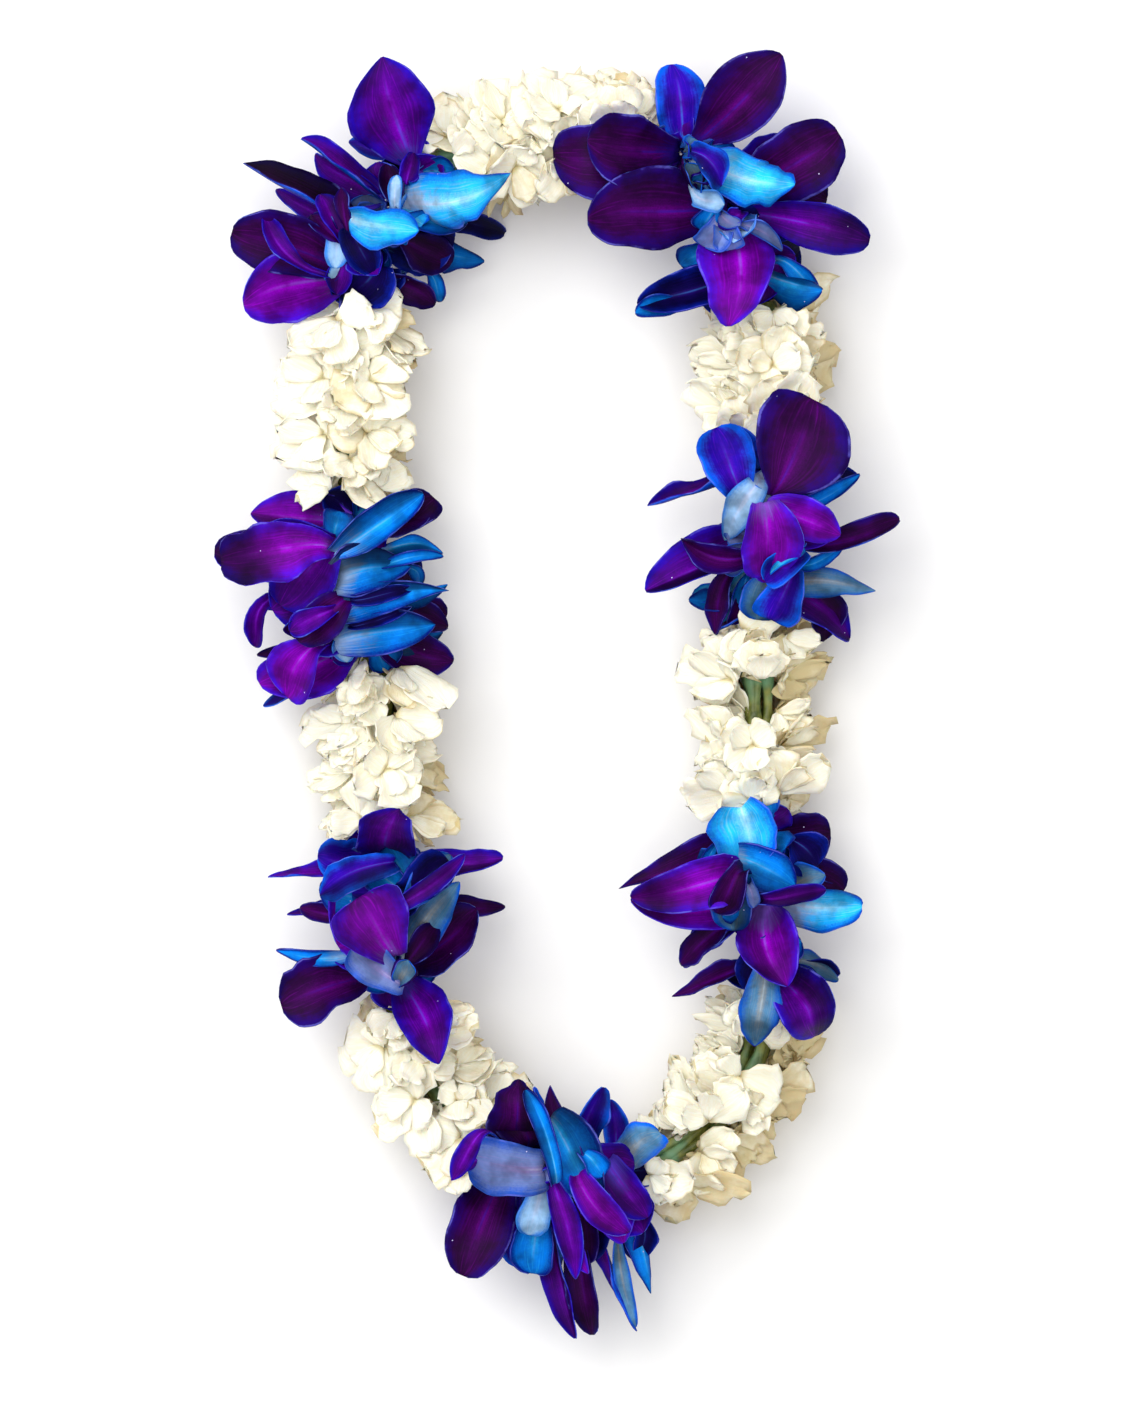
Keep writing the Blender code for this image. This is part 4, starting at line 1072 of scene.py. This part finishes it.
def fine_petal(bm, layers, blade, look, form, chance):
    """One petal as a thin sheet along its blade: curled, ribbed, with a waved edge."""
    verts = sheet(bm, PETAL_COLUMNS, PETAL_ROWS)
    curl = form.get("curl", CURL[blade.kind] * chance.uniform(0.8, 1.3))
    fold = math.radians(form.get("fold", 0))
    wave = form.get("wave", WAVE[blade.kind]) * chance.uniform(0.6, 1.3)
    twist = math.radians(form.get("twist", chance.uniform(-12, 12)))
    sweep, droop = form.get("sweep", chance.uniform(-2.5, 2.5)), form.get("droop", 1.5)
    lift = form.get("lift", blade.root_lift)
    ragged = form.get("ragged", 0.11)
    tone = form.get("tone", 1.0) * chance.uniform(0.9, 1.1)
    phase = chance.uniform(0, math.tau)
    seed = any_seed(chance)
    lopsided = 0.4 * noise.noise(seed + Vector((7, 2, 0)))
    hook = form.get("hook", 7 * noise.noise(seed + Vector((1, 8, 0))))
    front, back = look_value(look), look_value(BACK_LOOK[look])
    if abs(math.degrees(blade.roll)) > 90:
        front, back = back, front
    for vertex in verts:
        across, along = vertex.co.x, (vertex.co.y + 1) / 2
        t = 0.004 + 0.992 * (0.45 * along + 0.55 * math.sin(along * math.pi / 2))
        ahead, side, face = blade.frame_at(t)
        turned = Matrix.Rotation(twist * (t - 0.4), 3, ahead)
        side, face = turned @ side, turned @ face
        # How wide it is here: its outline, a little ragged and fuller on one side.
        uneven = 1 + ragged * noise.noise(seed + Vector((across * 0.7, along * 6, 3)))
        uneven += lopsided * math.copysign(math.sin(math.pi * t), across)
        half = blade.half_width(t, form) * uneven
        # Off the blade's middle line: curled and folded across, swept and hooked to the side,
        # with a sunk rib, a rippled edge and soft swellings.
        angle = curl * across
        out = half * math.cos(fold) * math.sin(angle) / math.sin(min(curl, 1.5))
        out += sweep * math.sin(math.pi * t) + hook * max(0.0, t - 0.6) ** 2 / 0.16
        up = half * ((1 - math.cos(angle)) / curl + abs(across) * math.sin(fold))
        up -= RIB_DEPTH * math.exp(-((across / 0.13) ** 2)) * math.sin(math.pi * t)
        ripple = math.sin(phase + along * 9 + across) + 0.5 * math.sin(phase * 2 + along * 21)
        up += wave * abs(across) ** 3 * ripple * math.sin(math.pi * min(t * 1.1, 1))
        swell = noise.noise(seed + Vector((across * 1.1, along * 2.2, 0)))
        up += SWELLING * swell * math.sin(math.pi * t)
        # And the root is lifted, the tip droops, and the petal may be moved in plan.
        rise = lift * math.exp(-5 * t) - droop * max(0.0, t - 0.7) ** 2 / 0.09
        moved = Vector((*form.get("move", (0, 0)), 0)) * eased(t * 1.4)
        vertex.co = blade.spine(t) + side * out + face * up + Vector((0, 0, rise)) + moved
        vertex.co.z = max(vertex.co.z, FLOOR_HEIGHT)
        # Painted shade: darker low in the bloom, as under the petals above.
        low = 1 - LOW_SHADE * eased((SHADE_HEIGHTS[1] - vertex.co.z) / SHADE_HEIGHTS[0])
        shade = tone * painted_shade_and_tone(form, across, t) * low
        for layer, value in zip(layers[1:], (front, back, shade, form.get("frost", 0.0))):
            vertex[layer] = value
    bmesh.ops.remove_doubles(bm, verts=verts, dist=PETAL_SEAM)


def throat_scales(bm, layers, neck, chance):
    """Short petal bases that close the bloom's middle round the string."""
    first = chance.uniform(0, math.tau)
    for i in range(THROAT_SCALES):
        azimuth = first + math.tau * (i + chance.uniform(-0.15, 0.15)) / THROAT_SCALES
        level = Vector((math.cos(azimuth), math.sin(azimuth), 0))
        shoulder = neck + level * SCALE_SHOULDER[0] + Vector((0, 0, SCALE_SHOULDER[1]))
        tip = neck + level * chance.uniform(*SCALE_REACH)
        tip += Vector((0, 0, chance.uniform(*SCALE_RISE)))
        width, roll = chance.uniform(*SCALE_WIDTH), chance.uniform(*SCALE_ROLL)
        scale = LooseBlade("lip", neck, shoulder, tip, width, roll)
        fine_petal(bm, layers, scale, chance.choice(THROAT_LOOKS), {"tone": 0.8}, chance)


def bloom_petals(bloom, distance, materials, number):
    bm = bmesh.new()
    layers = petal_layers(bm)
    chance = random.Random(number)
    centre = strand_point(distance)
    for kind, *tip, width, roll, look, form in BLOOMS[bloom]:
        blade = Blade(kind, centre, tip, width, roll, form.get("bow", 0.0))
        fine_petal(bm, layers, blade, look, form, chance)
    neck = centre + Vector((0, 0, NECK_RISE))
    throat_scales(bm, layers, neck, chance)
    for kind, shoulder, tip, width, roll, look, form in EXTRA_PETALS.get(bloom, ()):
        blade = LooseBlade(kind, neck, seen(*shoulder), seen(*tip), width, roll)
        fine_petal(bm, layers, blade, look, form, chance)
    tree = BVHTree.FromBMesh(bm)
    petals = placed(f"petals_{bloom}", bm, materials, f"orchid_{bloom}")
    walls(petals, PETAL_WALL, back=1, rim=2)
    return tree


# White blossoms

# A whorl of florets, as in the part's source.
FLORETS_PER_WHORL = 5
FLORET_DISTANCE = 20.0
FLORET_TILT = 0.36
TEPAL_COLUMNS = 6
TEPAL_ROWS = 8
TEPAL_WALL = 0.35
TEPAL_WIDEST = 0.62
# The outer and inner tepals of a floret: how many, their reach, their width, and how far the
# middle and the tips stand off the floret's face.
TEPAL_RINGS = ((5, 15.0, 15.0, (-2.4, 0.2)), (3, 9.8, 11.0, (-1.4, 3.8)))
# What each tepal draws between: its cup, its fold, its twist and how far its tip curls.
TEPAL_CUP = (-0.1, 0.6)
TEPAL_FOLD = (-0.15, 0.25)
TEPAL_TWIST = (-0.28, 0.28)
TEPAL_CURL = (-3.0, 4.5)
# How much the florets at the strand's sides turn their faces up, sit closer in and shrink.
FACES_UP = 0.62
DRAWN_IN = 9.5
SMALLER_ASIDE = 0.15
# The florets between two rows: how much closer in they sit, and their size beside the rows'.
BETWEEN_DEPTH = 4
BETWEEN_SIZE = (0.66, 0.86)
# Whether a tepal lies on an orchid is tried at so many of its vertices, from so far above them,
# down to so far below. It does when more of them than ON_AN_ORCHID hit a petal.
PROBES = 9
PROBE_LIFT = 1.5
PROBE_REACH = 60
ON_AN_ORCHID = 2
# Where the photograph shows the green tubes between the blossoms: pixel and half sizes. A tepal
# is left out when more of its vertices than COVERS_A_GAP reach over such a gap, well above the
# strand's middle.
COVERS_A_GAP = 8
WELL_ABOVE = 4
GREEN_GAPS = (
    (757, 700, 25, 22), (716, 646, 7, 4), (777, 648, 9, 5), (784, 747, 9, 5), (768, 783, 7, 5),
    (755, 1055, 20, 17), (777, 1060, 7, 10), (710, 1081, 14, 5), (656, 1140, 11, 8),
    (684, 1148, 13, 12), (730, 1123, 11, 7), (761, 1106, 6, 4), (345, 508, 17, 11),
    (453, 168, 14, 8), (364, 344, 8, 6), (348, 446, 9, 6), (388, 1058, 10, 7), (430, 1096, 11, 8),
    (376, 702, 5, 6), (394, 714, 6, 6), (405, 719, 5, 5), (375, 661, 9, 6), (431, 137, 9, 11),
)


def floret_place(distance, turn, lean):
    """The CAD floret's own coordinates: across and along its face, and out from the strand."""
    outward = Vector((math.cos(turn), math.sin(turn)))
    round_ = Vector((-outward.y, outward.x))

    def place(across, along, out):
        out += lean[0] * across + lean[1] * along
        flat = outward * (out - FLORET_TILT * along) + round_ * across
        return at_strand(distance + along, flat.x, flat.y)

    return place


def tepal_half_width(width, t):
    if t < TEPAL_WIDEST:
        return width / 2 * (0.24 + 0.76 * math.sin(math.pi / 2 * t / TEPAL_WIDEST))
    share = (t - TEPAL_WIDEST) / (1 - TEPAL_WIDEST)
    return width / 2 * max(0.0, 1 - share**2.4) ** 0.5


def tepal(bm, layers, place, azimuth, reach, width, lift, painted_shade, chance):
    """One rounded white petal, cupped and a little crumpled, from the floret's middle out."""
    verts = sheet(bm, TEPAL_COLUMNS, TEPAL_ROWS)
    seed = any_seed(chance)
    cup, fold = chance.uniform(*TEPAL_CUP), chance.uniform(*TEPAL_FOLD)
    twist, curl = chance.uniform(*TEPAL_TWIST), chance.uniform(*TEPAL_CURL)
    phase = chance.uniform(0, math.tau)
    ahead = Vector((math.cos(azimuth), math.sin(azimuth)))
    for vertex in verts:
        across, along = vertex.co.x, (vertex.co.y + 1) / 2
        vertex[layers[1]] = painted_shade
        t = 0.4 * along + 0.6 * math.sin(along * math.pi / 2)
        ragged = 1 + 0.45 * noise.noise(seed + Vector((across * 1.2, along * 5, 9)))
        x = tepal_half_width(width, t) * ragged * across
        y = reach * t * (1 + 0.12 * noise.noise(seed + Vector((across * 2.4, 4, 4))))
        height = lift[0] + (lift[1] - lift[0]) * t + curl * max(0.0, t - 0.45) ** 2 * 2.4
        height += cup * abs(x) * abs(across) + fold * abs(x) + twist * x
        height += 3.0 * noise.noise(seed + Vector((across * 1.5, along * 2.6, 0))) * t
        height += 1.4 * across * across * math.sin(phase + along * 8 + across * 1.5) * t
        vertex.co = place(ahead.x * y - ahead.y * x, ahead.y * y + ahead.x * x, height)
        vertex.co.z = max(vertex.co.z, FLOOR_HEIGHT)
    return verts


def over_an_orchid(verts, petal_trees):
    """Whether a tepal lies on top of an orchid's petals instead of under them."""
    covered = 0
    for vertex in verts[:: len(verts) // PROBES]:
        ray = vertex.co + UP * PROBE_LIFT, -UP, PROBE_REACH
        covered += any(tree.ray_cast(*ray)[0] is not None for tree in petal_trees)
    return covered > ON_AN_ORCHID


def over_a_gap(point):
    across, down = PHOTO_MIDDLE[0] + point.x / PIXEL, PHOTO_MIDDLE[1] - point.y / PIXEL
    return point.z > AXIS_HEIGHT + WELL_ABOVE and any(
        ((across - x) / wide) ** 2 + ((down - y) / high) ** 2 < 1 for x, y, wide, high in GREEN_GAPS
    )


def fine_floret(bm, layers, distance, turn, size, out, petal_trees, chance):
    lean = chance.uniform(-0.2, 0.2) - FACES_UP * math.cos(turn), chance.uniform(-0.25, 0.25)
    out -= DRAWN_IN * math.cos(turn) ** 2
    size *= 1 - SMALLER_ASIDE * math.cos(turn) ** 2
    place = floret_place(distance, turn, lean)
    outward = (place(0, 0, out) - strand_point(distance)) / out
    # Buff painted shade where it faces down, to the right or to the near side, from the light.
    painted_shade = 0.5 + 0.45 * outward.x - 0.15 * outward.y - 0.48 * outward.z
    phase = chance.uniform(0, math.tau)
    for ring, (count, reach, width, lift) in enumerate(TEPAL_RINGS):
        for i in range(count):
            azimuth = phase + ring * 0.6 + math.tau * (i + chance.uniform(-0.22, 0.22)) / count
            scale = size * chance.uniform(0.82, 1.12)
            level = (out + lift[0], out + lift[1] + chance.uniform(-1.5, 1.5))
            shade = min(1.0, max(0.0, painted_shade + chance.uniform(-0.3, 0.4)))
            broad = width * scale * chance.uniform(0.8, 1.1)
            verts = tepal(bm, layers, place, azimuth, reach * scale, broad, level, shade, chance)
            covers = sum(over_a_gap(vertex.co) for vertex in verts) > COVERS_A_GAP
            if covers or over_an_orchid(verts, petal_trees):
                bmesh.ops.delete(bm, geom=verts, context="VERTS")


def whorl_florets(row, distance, between, number, petal_trees, material):
    """A whorl as in the part's source, each floret in tepals, with smaller ones between."""
    drawn = random.Random(number)
    chance = random.Random(1000 + number)
    first = drawn.uniform(0, math.tau)
    bm = bmesh.new()
    layers = bm.loops.layers.uv.new("petal"), bm.verts.layers.float.new("painted_shade")
    for i in range(FLORETS_PER_WHORL):
        turn = first + math.tau * (i + drawn.uniform(-0.08, 0.08)) / FLORETS_PER_WHORL
        drawn.uniform(0, math.tau)  # The source's floret turns on its face by this.
        size = drawn.uniform(0.92, 1.08)
        out = FLORET_DISTANCE
        fine_floret(bm, layers, distance, turn, size, out, petal_trees, chance)
        turn += math.pi / FLORETS_PER_WHORL
        size *= chance.uniform(*BETWEEN_SIZE)
        out -= BETWEEN_DEPTH
        fine_floret(bm, layers, between, turn, size, out, petal_trees, chance)
    whorl = placed(f"blossoms_{row}", bm, (material,), f"white_{row}")
    walls(whorl, TEPAL_WALL)


# Green tubes and the string

TUBE_SEAM = 0.002
# The tubes round the string: how many, how far out the two kinds lie, how thick they are, how
# much they swell, how far they wind, their sides, and a ring of points for so many millimetres.
TUBES_IN_BUNDLE = 8
TUBE_RINGS = (3.2, 3.8)
TUBE_RADIUS = 2.3
TUBE_SWELL = 0.7
TUBE_WINDING = 0.35
TUBE_SIDES = 7
TUBE_STEP = 2
FEWEST_STEPS = 8
# The string's two plies: how often they wind, the steps and sides of each turn, how far each
# lies from the string's middle and how thick it is.
STRING_TURNS = 190
STEPS_PER_TURN = 6
PLY_SIDES = 5
PLY_OFFSET = 0.38
PLY_RADIUS = 0.42


def tube_path(bm, points, radii, sides):
    """A tube through the points, as a grid that is wrapped round and closed on itself."""
    made = bmesh.ops.create_grid(bm, x_segments=sides, y_segments=len(points) - 1, size=1)
    last = len(points) - 1
    for vertex in made["verts"]:
        angle = (vertex.co.x + 1) * math.pi
        k = round((vertex.co.y + 1) / 2 * last)
        ahead = (points[min(k + 1, last)] - points[max(k - 1, 0)]).normalized()
        side = ahead.cross(UP).normalized()
        up = side.cross(ahead)
        vertex.co = points[k] + (side * math.cos(angle) + up * math.sin(angle)) * radii[k]
    bmesh.ops.remove_doubles(bm, verts=made["verts"], dist=TUBE_SEAM)


def green_bundle(run, start, end, number, material):
    """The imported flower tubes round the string, each one wavering along the strand."""
    bm = bmesh.new()
    chance = random.Random(number)
    steps = max(FEWEST_STEPS, round((end - start) / TUBE_STEP))
    for i in range(TUBES_IN_BUNDLE):
        turn = math.tau * i / TUBES_IN_BUNDLE
        phase = chance.uniform(0, math.tau)
        ring = TUBE_RINGS[i % 2]
        points, radii = [], []
        for k in range(steps + 1):
            distance = start + (end - start) * k / steps
            angle = turn + TUBE_WINDING * math.sin(phase + distance / 9)
            points.append(at_strand(distance, ring * math.cos(angle), ring * math.sin(angle)))
            radii.append(TUBE_RADIUS + TUBE_SWELL * math.sin(distance / 3.4 + 0.25 * phase))
        tube_path(bm, points, radii, TUBE_SIDES)
    bmesh.ops.recalc_face_normals(bm, faces=bm.faces)
    placed(f"tubes_{run}", bm, (material,), f"stems_{run}")


def twisted_string(material):
    """Two plies wound round each other all the way round the strand."""
    bm = bmesh.new()
    steps = STRING_TURNS * STEPS_PER_TURN
    for ply in range(2):
        points = []
        for k in range(steps + 1):
            angle = math.tau * STRING_TURNS * k / steps + ply * math.pi
            offset = PLY_OFFSET * math.cos(angle), PLY_OFFSET * math.sin(angle)
            points.append(at_strand(PERIMETER * k / steps, *offset))
        tube_path(bm, points, [PLY_RADIUS] * (steps + 1), PLY_SIDES)
    bmesh.ops.recalc_face_normals(bm, faces=bm.faces)
    placed("garland_string", bm, (material,), "string")


# The stage

FLOOR_HALF_SIZE = 3
# Each light: name, place, size, watts and colour.
LIGHTS = (
    ("window", (-1.0, 1.0, 1.9), 2.0, 36, (1.0, 0.99, 0.97)),
    ("ceiling", (0.2, -0.1, 2.3), 2.2, 22, (1.0, 0.99, 0.98)),
)
SKY_STRENGTH = 0.6
CAMERA_PLACE = (0.0017, -0.0022, 5.643)
CAMERA_LENS = 400


def floor_material():
    material, wires, surface = surface_material("paper_floor", 0.1)
    grain = wires.noise(wires.object_place(), 60.0)
    colour = wires.blend(grain, (0.93, 0.93, 0.93, 1), (0.96, 0.96, 0.96, 1))
    painted(wires, surface, colour, 0.9)
    return material


def lay_floor():
    bm = bmesh.new()
    bmesh.ops.create_grid(bm, x_segments=4, y_segments=4, size=FLOOR_HALF_SIZE)
    floor = mesh_object("floor", bm, [floor_material()])


def light_stage():
    for name, place, size, watts, colour in LIGHTS:
        light = bpy.data.lights.new(name, "AREA")
        light.shape = "DISK"
        light.size = size
        light.energy = watts
        light.color = colour
        lamp = linked(name, light)
        lamp.location = place
        lamp.rotation_euler = (-Vector(place)).to_track_quat("-Z", "Y").to_euler()
    world = bpy.data.worlds.new("studio")
    world.use_nodes = True
    background = world.node_tree.nodes["Background"]
    background.inputs["Color"].default_value = (1.0, 1.0, 1.0, 1)
    background.inputs["Strength"].default_value = SKY_STRENGTH
    bpy.context.scene.world = world


def aim_camera():
    lens = bpy.data.cameras.new("above")
    lens.lens = CAMERA_LENS
    camera = linked("above", lens)
    camera.location = CAMERA_PLACE
    bpy.context.scene.camera = camera


# The garland


def runs_of(kind):
    start = FIRST_RUN_START
    for run_kind, place, end, fractions in RUNS:
        if run_kind == kind:
            yield place, start, end, fractions
        start = end


def dress_whites(vein_group, petal_trees):
    number = 0
    blossom, green = white_material(vein_group), green_material()
    for run, start, end, fractions in runs_of("white"):
        green_bundle(run, start + 1, end - 1, number, green)
        places = [start + (end - start) * fraction for fraction in fractions]
        for i, (distance, following) in enumerate(zip(places, [*places[1:], end + 2])):
            near_orchid = i == 0 or i >= len(places) - 2
            trees = petal_trees if near_orchid else ()
            between = (distance + following) / 2
            whorl_florets(f"{run}_{i + 1}", distance, between, number, trees, blossom)
            number += 1


def dress_orchids(vein_group):
    paint = orchid_paint_group(vein_group)
    materials = (
        orchid_material("orchid_face", paint, "look"),
        orchid_material("orchid_back", paint, "look_back"),
        rim_material(),
    )
    petal_trees = []
    for run, start, end, fractions in runs_of("orchid"):
        for i, fraction in enumerate(fractions):
            distance, number = start + (end - start) * fraction, len(petal_trees)
            petal_trees.append(bloom_petals(f"{run}_{i + 1}", distance, materials, number))
    return petal_trees


def build():
    bpy.context.scene.view_settings.view_transform = "Standard"
    vein_group = petal_vein_group()
    twisted_string(string_material())
    petal_trees = dress_orchids(vein_group)
    dress_whites(vein_group, petal_trees)
    lay_floor()
    light_stage()
    aim_camera()


build()
